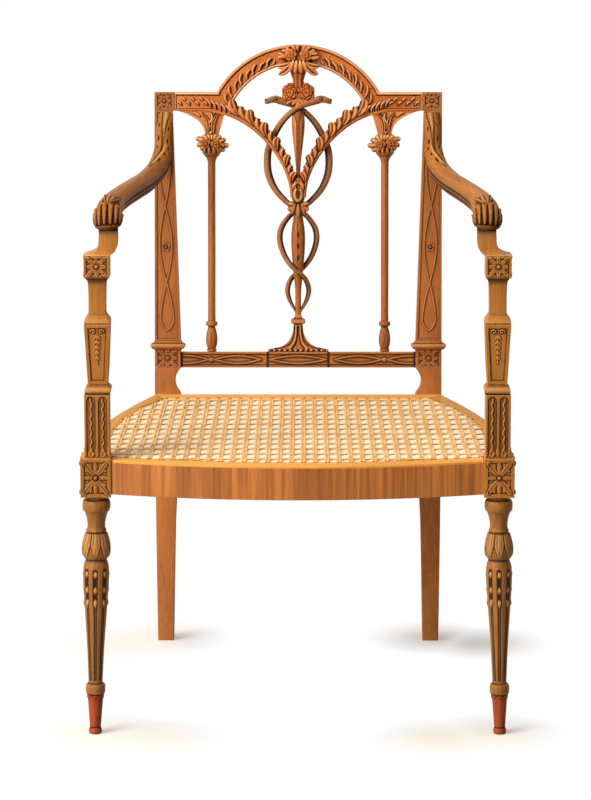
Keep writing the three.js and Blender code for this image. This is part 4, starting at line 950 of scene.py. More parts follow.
def front_posts():
    leg, foot, body = Body(), Body(), Body()
    front_leg(leg, foot)
    sunk, edge = SUNK + 0.5, 0.7
    levels = ((LEG_HEIGHT, edge), (LEG_HEIGHT + edge, 0), (BLOCK_TOP - edge, 0), (BLOCK_TOP, edge))
    body.stack([(
        HALF_WIDTH - FRONT_BLOCK + inset, HALF_WIDTH - sunk - inset,
        FRONT_Y + sunk + inset, FRONT_Y + FRONT_BLOCK - inset, height, 0,
    ) for height, inset in levels], edge)
    support = arm_support()
    for face in (facing_front(0, POST_X), facing_side(HALF_WIDTH, FRONT_BLOCK / 2)):
        leafy_face(FRONT_BLOCK / 2, LEG_HEIGHT, BLOCK_TOP).onto(body, face, skirt=2.4)
    half, middle, deep = support_widths(BLOCK_TOP + 1)
    reeded_face(half).onto(body, SUPPORT_FRONT, middle)
    reeded_face(deep).onto(body, SUPPORT_SIDE)
    low, high = (BLOCK_TOP + share * SUPPORT_HEIGHT for share in DROP_SPAN)
    below, (half, middle, deep) = support_widths(low), support_widths(high)
    drop_face([below[0], half], low, high).onto(body, SUPPORT_FRONT, middle)
    drop_face([below[2], deep], low, high).onto(body, SUPPORT_SIDE)
    low, high = (BLOCK_TOP + share * SUPPORT_HEIGHT for share in PATERA_SPAN)
    half, middle, deep = support_widths((low + high) / 2)
    patera_face(half, low, high).onto(body, SUPPORT_FRONT, middle)
    patera_face(deep, low, high).onto(body, SUPPORT_SIDE)
    made_pair("front_leg_turned", leg, leg_wood, ["front_post"])
    made_pair("cone_foot", foot, foot_wood)
    made_pair("carved_block_faces", body, satin_post)
    made_pair("arm_support", support, satin_post)


# Arms
SUPPORT_TOP = BLOCK_TOP + SUPPORT_HEIGHT + FIT
ARM_WIDTH = 32
ARM_ROOT = on_back(POST_OUTER - 18.5, -6, BACK_RISE - 31)
ARM_FOOT = np.array([SUPPORT_X - 16, FRONT_Y + FRONT_BLOCK / 2, SUPPORT_TOP])
# Across from back to front, along from front to back, up from the support, then width and height
ARM_SHARES = [
    (0, 1, 1, 0.6, 0.22), (0.06, 0.982, 0.747, 0.76, 0.6), (0.08, 0.962, 0.442, 0.86, 0.84),
    (0.155, 0.91, 0.253, 0.95, 0.95), (0.39, 0.743, 0.147, 1, 0.98), (0.635, 0.526, 0.179, 1, 1),
    (0.82, 0.351, 0.216, 1.03, 1), (0.953, 0.175, 0.253, 1.08, 1.03), (1.008, 0.062, 0.24, 1.15, 1.05),
    (1.015, 0.004, 0.135, 1.14, 1), (1, 0, 0, 0.88, 0.88),
]
KNUCKLE_FLUTES = 14
KNUCKLE_SPAN = (0.828, 0.932)
RING_SPAN = (0.932, 0.956)
HUSK_SPAN = (0.74, 0.85)
ARM_LEAF_END = 0.4
# Small gouge cuts beside the leaf: share of its length, and turn round the arm
ARM_DOTS = [
    (0.2, 0.75), (0.36, 0.62), (0.5, 0.7), (0.63, 0.88), (0.76, 0.92), (0.24, -0.62), (0.4, -0.5),
    (0.52, -0.66), (0.66, -0.42), (0.8, -0.2), (0.9, 0.1),
]


def arm_relief(angle, share):
    """The long leaf at the back, the two lines under the arm, and the fluted knuckle."""
    turn = (angle + math.pi) % TURN - math.pi
    along = held((share - KNUCKLE_SPAN[0]) / (KNUCKLE_SPAN[1] - KNUCKLE_SPAN[0]))
    phase = abs((turn / TURN * KNUCKLE_FLUTES) % 1 - 0.5) * 2
    edge = phase / np.interp(along, (0, 0.35, 1), (0.98, 0.8, 0.5))
    inside = (edge < 1) & (along > 0.06 + 0.2 * phase ** 2) & (along < 1)
    swell = np.sqrt(held(1 - edge ** 2))
    groove = (along > 0) & (along < 1)
    out = np.where(inside, 2.6 * swell * (1.15 - 0.5 * along), -1.2 * groove)
    dark = np.where(inside, 1.1 * edge ** 4 - 0.8 * swell * (1 - 1.25 * along), 0.95 * groove)
    ring = peak(share - sum(RING_SPAN) / 2, 0.009)
    neck = held((share - RING_SPAN[1]) / 0.008)
    out = out + 1.6 * ring - 1.8 * neck
    dark = dark + 0.6 * ring + 0.8 * neck + 0.9 * peak(share - RING_SPAN[0], 0.004)
    husk = held((share - HUSK_SPAN[0]) / (HUSK_SPAN[1] - HUSK_SPAN[0]))
    behind = (abs(turn + 0.2) < 0.75 * np.sin(math.pi * husk)) * held((husk - 0.3) * 8)
    dark = np.maximum(dark, 0.8 * behind * (husk < 1))
    for lean, size in ((0.5, 0.2), (-0.9, 0.22), (-0.2, 0.26)):
        half = size * np.sin(math.pi * np.clip(husk, 0.001, 0.999) ** 0.8) ** 0.7 + 1e-3
        across = (turn - lean * (1 - husk) * 0.9) / half
        inside = (abs(across) < 1) & (husk > 0) & (husk < 1)
        height = 2.8 * np.sqrt(held(1 - across ** 2)) - 1.6 * peak(across, 0.25)
        out = np.where(inside, np.maximum(out, height), out)
        rim = peak(abs(across) - 1.1, 0.25) * (husk > 0) * (husk < 1)
        dark = np.where(inside, 0.9 * peak(across, 0.25) - 0.1, np.maximum(dark, 0) + 0.9 * rim)
    leaf = held(share / ARM_LEAF_END)
    outer = np.interp(leaf, (0, 0.3, 0.6, 0.9, 1), (0.62, 0.16, 0.1, 0.5, 0.9))
    inner = np.interp(leaf, (0, 0.3, 0.6), (-0.62, -0.14, 0.06))
    lines = peak(turn - outer, 0.1) * (leaf < 1)
    lines = np.maximum(lines, peak(turn - inner, 0.1) * (leaf < 0.6))
    painted_highlight = peak(turn - (outer + inner) / 2, 0.12) * (leaf < 0.25)
    painted_highlight = painted_highlight + peak(turn - outer + 0.28, 0.12) * (leaf > 0.25) * (leaf < 0.95)
    for place, side in ARM_DOTS:
        dot = ((leaf - place) / 0.034) ** 2 + ((turn - side) / 0.12) ** 2
        lines = np.maximum(lines, held(1.5 - dot))
    out = out - 0.9 * lines + 0.4 * painted_highlight
    dark = dark + lines - 0.45 * painted_highlight
    # Painted shade in the knuckle's flutes and rings, round the husks, in the leaf's lines and dots and in
    # the two lines under the arm, with painted highlights on ridges; under is painted shade on the arm's
    # inner lower side
    low = peak(abs(turn) - 1.55, 0.1) + peak(abs(turn) - 1.95, 0.1)
    low = low * held((0.76 - share) * 20) * held((share - 0.02) * 20)
    under = 0.4 * held(-turn - 0.8) * held((0.78 - share) * 8)
    return out - 0.9 * low, held(dark + 0.9 * low + under, -1)


def arms():
    rows = [(
        ARM_ROOT[0] + (ARM_FOOT[0] - ARM_ROOT[0]) * across,
        ARM_FOOT[1] + (ARM_ROOT[1] - ARM_FOOT[1]) * along,
        ARM_FOOT[2] + (ARM_ROOT[2] - ARM_FOOT[2]) * up,
        ARM_WIDTH * deep, ARM_WIDTH * wide,
    ) for across, along, up, deep, wide in ARM_SHARES]
    path = spline([row[:3] for row in rows], 460)
    share = np.linspace(0, len(rows) - 1, len(path))
    deep, wide = (np.interp(share, range(len(rows)), [row[i] for row in rows]) for i in (3, 4))
    body = Body()
    body.swept(path, (1, 0, 0), wide, deep, sides=168, relief=arm_relief)
    made_pair("carved_arm", body, satin_arm, ["arm"])


# Seat frame: bowed front rail, curved side rails and rear rail, with veneered faces
FRONT_BOW = 36
FRONT_SETBACK = 3
FRONT_BORDER = 28
REAR_BORDER = 30
INNER_FRONT = (HALF_WIDTH - 37, FRONT_SETBACK + FRONT_BORDER)
INNER_REAR = (POST_OUTER - 19.5, SEAT_DEPTH - REAR_BORDER)
RAIL_HALF = HALF_WIDTH - FRONT_BLOCK
BOW_RADIUS = (RAIL_HALF ** 2 + FRONT_BOW ** 2) / (2 * FRONT_BOW)
RAIL_HEIGHT = SEAT_TOP - RAIL_FOOT


def bow_at(x):
    return FRONT_SETBACK - np.sqrt(BOW_RADIUS ** 2 - x ** 2) + BOW_RADIUS - FRONT_BOW


def seat_curve(shares, start, end):
    return bezier([
        (end[0] + (start[0] - end[0]) * across, start[1] + (end[1] - start[1]) * along)
        for across, along in shares
    ], 40)


SIDE_OUTER_SHARES = [(1, 0), (1, 0.34), (0.72, 0.61), (0, 1)]
SIDE_INNER_SHARES = [(1, 0), (1.1, 0.36), (1.0, 0.67), (0, 1)]
SIDE_OUTER = seat_curve(SIDE_OUTER_SHARES, (HALF_WIDTH, FRONT_BLOCK), (POST_OUTER, SEAT_DEPTH))
SIDE_INNER = seat_curve(SIDE_INNER_SHARES, INNER_FRONT, INNER_REAR)


def seat_frame():
    x = np.linspace(-RAIL_HALF + FIT, RAIL_HALF - FIT, 90)
    bow = pairs(x, bow_at(x))
    border = pairs(x, bow_at(x) + FRONT_BORDER)
    front = Body()
    front.plate(facing_up, np.vstack([bow + (0, 1.2), border[::-1]]), 0, -RAIL_HEIGHT, edge=1.6)
    made("front_rail_bowed", front, border_wood, ["front_rail"])
    face = Body()
    outer = np.vstack([bow, (bow + (0, 1.8))[::-1]])
    face.plate(facing_up, outer, -3.2, -RAIL_HEIGHT + 0.6, edge=0.5)
    made("front_rail_veneer", face, veneer)
    side = Body()
    inner = SIDE_INNER[SIDE_INNER[:, 1] > FRONT_BLOCK + 1]
    mitre = np.array([INNER_REAR])
    board = np.vstack([
        [(HALF_WIDTH - 1.2, FRONT_BLOCK + FIT)], SIDE_OUTER[1:] - (1.2, 0), mitre, inner[::-1],
        [(inner[0][0], FRONT_BLOCK + FIT)],
    ])
    side.plate(facing_up, board, 0, -RAIL_HEIGHT, edge=1.6)
    made_pair("side_rail_curved", side, side_wood, ["side_rail"])
    face = Body()
    line = np.vstack([[(HALF_WIDTH, FRONT_BLOCK + FIT)], SIDE_OUTER[1:-1]])
    face.plate(facing_up, np.vstack([line, (line - (1.8, 0))[::-1]]), -3.2, -RAIL_HEIGHT + 0.6, edge=0.5)
    made_pair("side_rail_veneer", face, veneer)
    rear = Body()
    rear.plate(facing_up, [
        (-INNER_REAR[0] + 0.2, INNER_REAR[1]), (INNER_REAR[0] - 0.2, INNER_REAR[1]),
        (POST_OUTER - 0.4, SEAT_DEPTH - FIT), (-POST_OUTER + 0.4, SEAT_DEPTH - FIT),
    ], 0, -RAIL_HEIGHT, edge=1.2)
    made("rear_rail_mitred", rear, border_wood, ["rear_rail"])


# Cane: pairs of strands both ways and thin slanted ones, laced through holes in the frame
CANE_COLUMNS = 32
CANE_ROWS = 13
STRAND = 2.9
PAIR_GAP = 1.1
SLANT = 13.2
SLANT_LIFT = -2.5
CANE_REACH = 4.5
COLUMN_PITCH = 2 * INNER_FRONT[0] / CANE_COLUMNS
CANE_FRONT = bow_at(0) + FRONT_BORDER
ROW_PITCH = (INNER_REAR[1] - CANE_FRONT) / CANE_ROWS
CANE_FAN = 0.05


def cane_room(x, y):
    """How far a point is inside the opening's holes."""
    front = y - (bow_at(np.clip(abs(x), 0, RAIL_HALF)) + FRONT_BORDER - CANE_REACH)
    rear = INNER_REAR[1] + CANE_REACH - y
    side = np.interp(y, SIDE_INNER[:, 1], SIDE_INNER[:, 0]) + CANE_REACH - abs(x)
    beside_post = np.maximum(RAIL_HALF - 1 - abs(x), y - FRONT_BLOCK - 1)
    return np.minimum(np.minimum(front, rear), np.minimum(side, beside_post))


def cane_strand(body, path, width, lift):
    """One flat strand, woven up and down, over the part of its path inside the opening."""
    closer = 1 - CANE_FAN * (path[:, 1] - CANE_FRONT) / (INNER_REAR[1] - CANE_FRONT)
    path = pairs(path[:, 0] * closer, path[:, 1])
    inside = np.flatnonzero(cane_room(path[:, 0], path[:, 1]) > 0)
    if len(inside) < 4:
        return []
    path, lift = path[inside[0]:inside[-1] + 1], lift[inside[0]:inside[-1] + 1]
    way = headings(path)
    side = pairs(-way[:, 1], way[:, 0]) * width / 2
    across = np.array([-1, -0.5, 0.5, 1, 0.6, -0.6])
    out = np.array([0.1, 0.45, 0.45, 0.1, -0.3, -0.3])
    ends = np.minimum(np.arange(len(path)), np.arange(len(path))[::-1])
    dip = -1.2 * held(1 - ends / 2)
    flat = path[:, None] + across[:, None] * side[:, None, :]
    # Painted shade on the strands' edges and undersides, and more where a strand lies low
    shade = held(np.array([0.5, 0, 0, 0.5, 0.8, 0.8]) + 0.5 * np.clip(-lift - 0.6, 0, 0.3)[:, None])
    body.skin(facing_up(flat[..., 0], flat[..., 1], 0.35 + out + (lift * 0.5 + dip)[:, None]), shade)
    return [path[0], path[-1]]


def cane_seat():
    body, slanted_body, holes = Body(), Body(), []
    far = INNER_REAR[1] + CANE_REACH
    for column in range(CANE_COLUMNS):
        for turn in (-1, 1):
            x = (column + 0.5 - CANE_COLUMNS / 2) * COLUMN_PITCH + turn * (STRAND + PAIR_GAP) / 2
            y = np.linspace(CANE_FRONT - 2 * CANE_REACH, far, 12 * CANE_ROWS)
            lift = turn * np.cos((y - CANE_FRONT) / ROW_PITCH * math.pi)
            holes += cane_strand(body, pairs(np.full_like(y, x), y), STRAND, lift)
    for row in range(CANE_ROWS):
        for turn in (-1, 1):
            y = CANE_FRONT + (row + 0.5) * ROW_PITCH + turn * (STRAND + PAIR_GAP) / 2
            x = np.linspace(-INNER_FRONT[0] - 16, INNER_FRONT[0] + 16, 6 * CANE_COLUMNS)
            lift = -turn * np.cos(x / COLUMN_PITCH * math.pi)
            holes += cane_strand(body, pairs(x, np.full_like(x, y)), STRAND, lift)
    slope = ROW_PITCH / COLUMN_PITCH
    for turn in (-1, 1):
        for start in range(-CANE_ROWS, CANE_COLUMNS + 1):
            y = np.linspace(CANE_FRONT - 30, far, 10 * CANE_ROWS)
            x = ((start + 0.5 - CANE_COLUMNS / 2) * COLUMN_PITCH
                 + (y - CANE_FRONT - ROW_PITCH / 2) / slope) * turn
            cane_strand(slanted_body, pairs(x, y), SLANT, np.full_like(y, SLANT_LIFT + 0.4 * turn))
    made("woven_cane", body, cane_finish, ["cane_panel"], sharp=70)
    made("slanted_cane", slanted_body, pale_cane_finish, sharp=70)
    pegs = Body()
    for x, y in holes:
        # The pegs are painted dark as the shade in the holes
        pegs.dome(facing_up, (x, y), 1.5, 0.5, low=0.05, dark=1.0, sides=8)
    made("cane_hole_pegs", pegs, block_wood)


# Back posts: one stick each, splayed below the seat and raked above it
POST_SPLAY = 63
REAR_FOOT_DEPTH = 28
POST_WAIST, POST_NECK, POST_TOP = 38.4, 30.5, 26.6
CORNER_BLOCK = 29.5
CORNER_RISE = BACK_RISE - 27
CAP_RISE, CAP_HEIGHT = 66, 13
LOWER_RISE, LOWER_TOP = 39.5, 62.5
POST_DEPTHS = ((0, 34), (BACK_RISE, 26))
SHAFT_SPAN = (CAP_RISE + CAP_HEIGHT, CORNER_RISE - 0.2)
SHAFT_SINK = 1.7
FIRST_CROSSING, HALF_WAVE = 165, 57
POST_BOSS_RISE = 218
# Height and width of the waist
WAIST_ROWS = [(0, POST_WAIST), (3, 37.2), (9, 33), (16, POST_NECK), (25, POST_NECK), (33, 34), (38.5, 38)]
# Height, inset of the edges and sunk depth of the front
POST_BLOCK_ROWS = [
    (39, 0.9, 0), (39.6, 0, 0), (42.5, 0, 0), (42.6, 0, SUNK), (CAP_RISE - 2.6, 0, SUNK),
    (CAP_RISE - 2.5, 0, 0), (CAP_RISE, 0, 0),
]
CORNER_ROWS = [
    (CORNER_RISE, 0.6, 0.4), (CORNER_RISE + 0.6, 0, 0), (CORNER_RISE + 1.0, 0, SUNK),
    (BACK_RISE - 1.2, 0, SUNK), (BACK_RISE - 0.8, 0, 0.2), (BACK_RISE, 0.7, 0.9),
]
# Height over the cap's foot and reach of its moulding
CAP_ROWS = [
    (0.2, 1.0), (1, 3.2), (2.4, 5.0), (4, 5.4), (4.2, 6.2), (7, 6.5), (8.4, 6.0), (8.8, 4.6), (9.3, 3.0),
    (10.6, 1.6), (CAP_HEIGHT, 0.6),
]


def post_ring(inner, outer, rise, grow=0.0, radius=1.0, front=0.0):
    back = np.interp(rise, *zip(*POST_DEPTHS))
    corners = [(inner - grow, front - grow), (outer + grow, front - grow),
               (outer + grow, back + grow), (inner - grow, back + grow)]
    return rounded_box(np.array([on_back(x, depth, rise) for x, depth in corners]), radius)


def rear_leg_rings():
    """The plain leg under the seat, curved to the back."""
    foot = SEAT_DEPTH + POST_SPLAY
    thick = POST_DEPTHS[0][1]
    top = on_back(0, thick, 0)[1:] - (FRONT_Y, 0)
    front = quadratic((foot, 0), (SEAT_DEPTH, SEAT_TOP / 2), (SEAT_DEPTH, SEAT_TOP), 24)
    rear = quadratic((foot + REAR_FOOT_DEPTH, 0), (SEAT_DEPTH + thick, SEAT_TOP / 2), top, 24)
    rings = []
    for (fy, fz), (ry, rz) in zip(front, rear):
        wide = np.interp(fz, (0, SEAT_TOP / 2, RAIL_FOOT, SEAT_TOP), (24, 29.3, POST_WAIST, POST_WAIST))
        corners = rectangle(POST_OUTER - wide, POST_OUTER, fy + FRONT_Y, ry + FRONT_Y, fz)
        corners[2:, 2] = rz
        rings.append(rounded_box(corners, 1.2))
    return rings


def back_post_body():
    body = Body()
    inner = POST_OUTER - POST_WAIST
    upper = [post_ring(POST_OUTER - wide, POST_OUTER, rise) for rise, wide in spline(WAIST_ROWS, 24)[1:]]
    block = [post_ring(inner + inset, POST_OUTER - (0 if sunk else inset), rise, front=sunk)
             for rise, inset, sunk in POST_BLOCK_ROWS]
    cap = [post_ring(inner, POST_OUTER, CAP_RISE + rise, grow, max(1.0, grow * 0.4))
           for rise, grow in CAP_ROWS]
    rise = np.linspace(*SHAFT_SPAN, 12)
    wide = np.interp(rise, SHAFT_SPAN, (POST_WAIST, POST_TOP))
    shaft = [post_ring(POST_OUTER - w, POST_OUTER, r, front=SHAFT_SINK) for r, w in zip(rise, wide)]
    corner_inner = POST_OUTER - CORNER_BLOCK
    corner = [post_ring(corner_inner + inset, POST_OUTER - inset, r, front=sunk)
              for r, inset, sunk in CORNER_ROWS]
    tenon = [post_ring(inner, POST_OUTER, rise, grow) for rise, grow in ((-20, -1.2), (-0.3, -1.2), (0, 0))]
    rings = np.array(tenon + upper + block + cap + shaft + corner)
    # Painted shade at the foot of the block, under the cap's mouldings and at the foot of the corner block
    dark = np.zeros(len(rings))
    start = len(tenon) + len(upper) + len(block)
    dark[start] = 0.9
    dark[start + 7:start + 10] = (0.6, 0.9, 0.3)
    dark[start - len(block)] = 0.8
    dark[start + len(cap) + len(shaft)] = 0.9
    body.skin(rings, dark[:, None])
    return body


def post_face():
    """The tapered face: two strands that cross, in a sunk field, with a small boss."""
    work = Relief((POST_WAIST / 2, POST_TOP / 2), SHAFT_SPAN)
    work.field(3.4, 1.9)
    for turn in (-1, 1):
        rise = np.linspace(FIRST_CROSSING - 2 * HALF_WAVE * 0.62, SHAFT_SPAN[1] - 8, 120)
        swing = np.sin(math.pi * (rise - FIRST_CROSSING) / (2 * HALF_WAVE))
        reach = np.interp(rise, SHAFT_SPAN, (10, 7.6))
        path = pairs(turn * reach * swing, rise)
        close = held((rise - rise[0]) / 14) ** 0.5
        path[:, 0] *= close
        work.cord(path, 3.6, 2.2)
    middle = np.array([0, POST_BOSS_RISE])
    work.flower(middle, 6.8, 5, 2.8, 6.6, turn=math.pi / 2)
    work.shade_ring(middle, 2.9)
    work.boss(middle, 1.9, 4.0)
    return work


def slanted(face, span, middles):
    """A face whose middle line leans across with the height."""
    return lambda across, up, out: face(across + np.interp(up, span, middles), up, out)


def back_posts():
    body = back_post_body()
    face = back_face(0)
    middles = (POST_OUTER - POST_WAIST / 2, POST_OUTER - POST_TOP / 2)
    post_face().onto(body, slanted(face, SHAFT_SPAN, middles))
    for width, foot, top, petals in (
        (POST_WAIST, LOWER_RISE + 1, CAP_RISE, 8), (CORNER_BLOCK, CORNER_RISE + 0.4, BACK_RISE, 6),
    ):
        block = patera_face(width / 2, foot, top, margin=4.2, petals=petals)
        block.onto(body, face, POST_OUTER - width / 2)
    made_pair("back_post_stick", body, darkened_back_wood, ["back_post"])
    leg = Body()
    leg.skin(rear_leg_rings())
    made_pair("rear_leg_splayed", leg, lightened_rear_wood)


# Crest rail: straight shoulders and a round arch, with a fillet along the upper edge
ARCH_OUTER, ARCH_WIDTH, ARCH_RISE = 138, 28, 379
ARCH_INNER = ARCH_OUTER - ARCH_WIDTH
CREST_HALF = POST_OUTER - CORNER_BLOCK - FIT
SHOULDER_HALF = math.sqrt(ARCH_OUTER ** 2 - (BACK_RISE - ARCH_RISE) ** 2)
ARCH_FOOT_RISE = CORNER_RISE - 8.1
ARCH_FOOT_HALF = math.sqrt(ARCH_INNER ** 2 - (ARCH_FOOT_RISE - ARCH_RISE) ** 2)
CREST_DROP = [(0.56, 0), (0.29, -2.2), (0, -8.1)]
FILLET = 4.4
CREST_SINK = 2.4
CROWN_RISE = 497
ARCH_EDGE_FROM = 29
CARVED_FACE = back_face(CREST_SINK)


def crest_outline():
    turn = math.degrees(math.atan2(BACK_RISE - ARCH_RISE, SHOULDER_HALF))
    low = math.degrees(math.asin((ARCH_FOOT_RISE - ARCH_RISE) / ARCH_INNER))
    span = CREST_HALF - ARCH_FOOT_HALF
    drop = np.array([(ARCH_FOOT_HALF + share * span, CORNER_RISE + fall) for share, fall in CREST_DROP])
    return np.vstack([
        [(CREST_HALF, CORNER_RISE), (CREST_HALF, BACK_RISE)],
        arc((0, ARCH_RISE), ARCH_OUTER, turn, 180 - turn, 90),
        [(-CREST_HALF, BACK_RISE), (-CREST_HALF, CORNER_RISE)],
        drop[:2] * (-1, 1),
        arc((0, ARCH_RISE), ARCH_INNER, 180 - low, low, 80),
        drop[1::-1],
    ])


def crest_leaves(body, turn):
    """Leaf tips scattered on a shoulder, then curled leaves along the arch."""
    # cast offsets each leaf's painted shadow
    cast = np.array([-turn * 1.5, -1.5])

    def spot(reach, angle):
        reach += ARCH_INNER
        return np.array([turn * reach * math.cos(angle), ARCH_RISE + reach * math.sin(angle)])

    for i in range(7):
        x = CREST_HALF - 7 - i * 6.4
        rise = BACK_RISE - FILLET - (7.0 if i % 2 else 12.5)
        body.leaf_with_painted_shadow(CARVED_FACE, (turn * (x - 3), rise - 3.0), (turn * (x + 3), rise + 2.4), 4.6, 3.0,
                      cast, bend=turn * 1.4, curl=1.6)
    for i in range(6):
        share = i / 5
        base = np.array([turn * (SHOULDER_HALF + 9 - 36 * share), CORNER_RISE + 3.5 - 11 * share])
        body.leaf_with_painted_shadow(CARVED_FACE, base, base + (turn * 7.5, 13.5 - share), 4.8, 3.8, cast * 1.2,
                      bend=turn * 1.8, curl=1.8)
    count = 8
    for i in range(count):
        angle = math.radians(29 + 46 * i / count)
        size = (15.0 if i % 2 else 12.0) - 4.0 * i / count
        body.leaf_with_painted_shadow(CARVED_FACE, spot(3.4, angle - 0.06), spot(3.4 + size, angle + 0.04), 5.0, 3.8, cast,
                      bend=-turn * 2.8, curl=2.2)
        base, tip = spot(4.4, angle + 0.01), spot(4.4 + size * 0.5, angle + 0.07)
        body.leaf_with_painted_shadow(CARVED_FACE, base, tip, 3.6, 3.0, cast * 0.7, bend=turn * 1.2, curl=1.4)
        if i % 3 == 1:
            body.dome(CARVED_FACE, spot(20.5, angle), 1.6, 1.2)


def crest_rail():
    body = Body()
    body.plate(back_face(0), crest_outline(), -CREST_SINK, -BACK_THICKNESS, edge=0.5)
    inset = FILLET / 2 + 0.1
    turn = math.degrees(math.atan2(BACK_RISE - ARCH_RISE - FILLET / 2, SHOULDER_HALF))
    centre, low = (0, ARCH_RISE), ARCH_EDGE_FROM
    below = BACK_RISE - FILLET - 0.7
    body.strand(CARVED_FACE, arc(centre, ARCH_OUTER - inset, turn, 180 - turn, 90), FILLET, CREST_SINK)
    # The lines here and below are flat dark strips: painted shade under the fillet, beside the ends and along
    # the foot
    body.line(CARVED_FACE, arc(centre, ARCH_OUTER - FILLET - 0.7, turn - 1, 181 - turn, 90))
    lip = arc(centre, ARCH_INNER + 1.9, low, 180 - low, 80)
    body.strand(CARVED_FACE, lip, 3.6, CREST_SINK * 0.8, edge=0.5)
    for side in (-1, 1):
        def upright(inward):
            across = side * (CREST_HALF - inward)
            return [(across, CORNER_RISE + 1), (across, BACK_RISE - 1)]

        fillet = [(CREST_HALF - 0.1, BACK_RISE - inset), (SHOULDER_HALF - 3, BACK_RISE - inset)]
        body.strand(CARVED_FACE, np.array(fillet) * (side, 1), FILLET, CREST_SINK)
        body.strand(CARVED_FACE, upright(0.9), 1.6, CREST_SINK * 0.8)
        crest_leaves(body, side)
        body.line(CARVED_FACE, np.array([(CREST_HALF - 2.4, below), (SHOULDER_HALF - 5, below)]) * (side, 1))
        body.line(CARVED_FACE, upright(2.2))
        foot = [(CREST_HALF - 4, 2.6), (ARCH_FOOT_HALF + 20, 2.6), (ARCH_FOOT_HALF + 6, -1)]
        body.line(CARVED_FACE, [(side * x, CORNER_RISE + z) for x, z in foot], 1.0)
    made("crest_rail_carved", body, crest_wood, ["crest_rail"])


# Corbels, flower capitals and slim columns
COLUMN_X = 128.25
COLUMN_DEPTH = BACK_THICKNESS / 2
COLUMN_RADIUS = 5.65
COLUMN_FOOT, COLUMN_TOP = LOWER_TOP + FIT, 361
COLUMN_SHARES = [
    (1.1, 0), (1.22, 0.004), (1.28, 0.01), (1.1, 0.014), (1.12, 0.018), (1.36, 0.032), (1.5, 0.058),
    (1.4, 0.086), (1.1, 0.112), (0.95, 0.12), (0.98, 0.126), (1.42, 0.13), (1.52, 0.139), (1.42, 0.148),
    (1.04, 0.152), (1, 0.165), (1, 0.5), (1, 0.9), (1.05, 0.945), (1.5, 0.966), (2.15, 0.98),
    (2.45, 0.99), (2.45, 1),
]
# Share of the height, spread and strength of each crease's painted shade
COLUMN_CREASES = [(0.123, 0.004, 1), (0.015, 0.003, 1), (0.153, 0.002, 1), (0.972, 0.004, 0.7)]
VASE_SPAN = (0.018, 0.112)
CAPITAL_TOP = COLUMN_TOP + 22
# Radius and height of the core; then degrees round, reach and width of each leaf
CAPITAL_CORE = [(12, -0.6), (14.5, 0.8), (16.5, 7), (15.5, 13), (12, 18), (9, 22)]
CAPITAL_LEAVES = [
    (18, 24, 8), (-8, 22, 7), (42, 18, 7), (66, 14, 6), (90, 12, 6), (114, 14, 6), (138, 18, 7),
    (162, 22, 7), (186, 25.5, 8), (208, 22, 7), (332, 19, 7),
]
# Share of the radius, number of petals and turn of each ring
FLOWER_RINGS = [(1.06, 5, 0.3), (0.5, 4, 0.9)]


def column_relief(angle, height, radius):
    share = (height - COLUMN_FOOT) / (COLUMN_TOP - COLUMN_FOOT)
    on_vase = (share > VASE_SPAN[0]) & (share < VASE_SPAN[1])
    rise = held((share - VASE_SPAN[0]) / (VASE_SPAN[1] - VASE_SPAN[0]))
    phase = (angle / TURN * 5 + 0.25) % 1 - 0.5
    edge = abs(phase) * 2 / np.maximum(0.95 * np.sin(math.pi * held(rise * 0.85 + 0.1)), 0.05)
    line = peak(edge - 1, 0.14) * on_vase
    crease = sum(strength * peak(share - place, width) for place, width, strength in COLUMN_CREASES)
    # Painted shade along the vase's leaf edges and in the creases
    return -0.7 * line, held(0.9 * line + 0.9 * crease)


def columns():
    body = Body()
    outline = profile(COLUMN_SHARES, 260, COLUMN_FOOT, COLUMN_RADIUS, COLUMN_TOP - COLUMN_FOOT)
    body.turned(outline, raked(COLUMN_X, COLUMN_DEPTH), sides=48, relief=column_relief)
    made_pair("slim_column", body, darkened_back_wood, ["column"])


def capital():
    """A bunch of flowers: two open ones in front and leaves all round."""
    body = Body()
    middle = np.array([COLUMN_X, COLUMN_TOP + 10])
    core = profile(CAPITAL_CORE, 30, COLUMN_TOP)
    # The core is painted dark: painted shade between the leaves
    body.turned(core, raked(COLUMN_X, COLUMN_DEPTH), sides=32, flat=0.68, dark=0.6)
    front = domed(back_face(2), middle, 21, 6.5, stretch=0.7)
    rear = domed(rear_face(22), middle, 21, 2, stretch=0.7)
    for face in (front, rear):
        body.spray(face, middle, CAPITAL_LEAVES, lambda reach: reach * 0.35, bend=1.0, sink=5, point=0.34)
    for x, rise, size in ((-7.6, 7.6, 9.4), (9.8, 10.4, 9.0)):
        spot = np.array([COLUMN_X + x, COLUMN_TOP + rise])
        body.rosette(front, spot, size, FLOWER_RINGS, 5.6, turn=np.sign(x), foot=0.0, fine=0.9)
    for x in (-9.4, -3.2, 3.2, 9.4):
        spot = np.array([COLUMN_X + x, COLUMN_TOP + 4])
        body.leaf(front, spot, spot + (x * 0.2, -8), 5.8, 3.8, low=2.4, sink=3, curl=1.4, point=0.3)
    made_pair("capital_flowers", body, leaf_wood, ["flower_capital"])


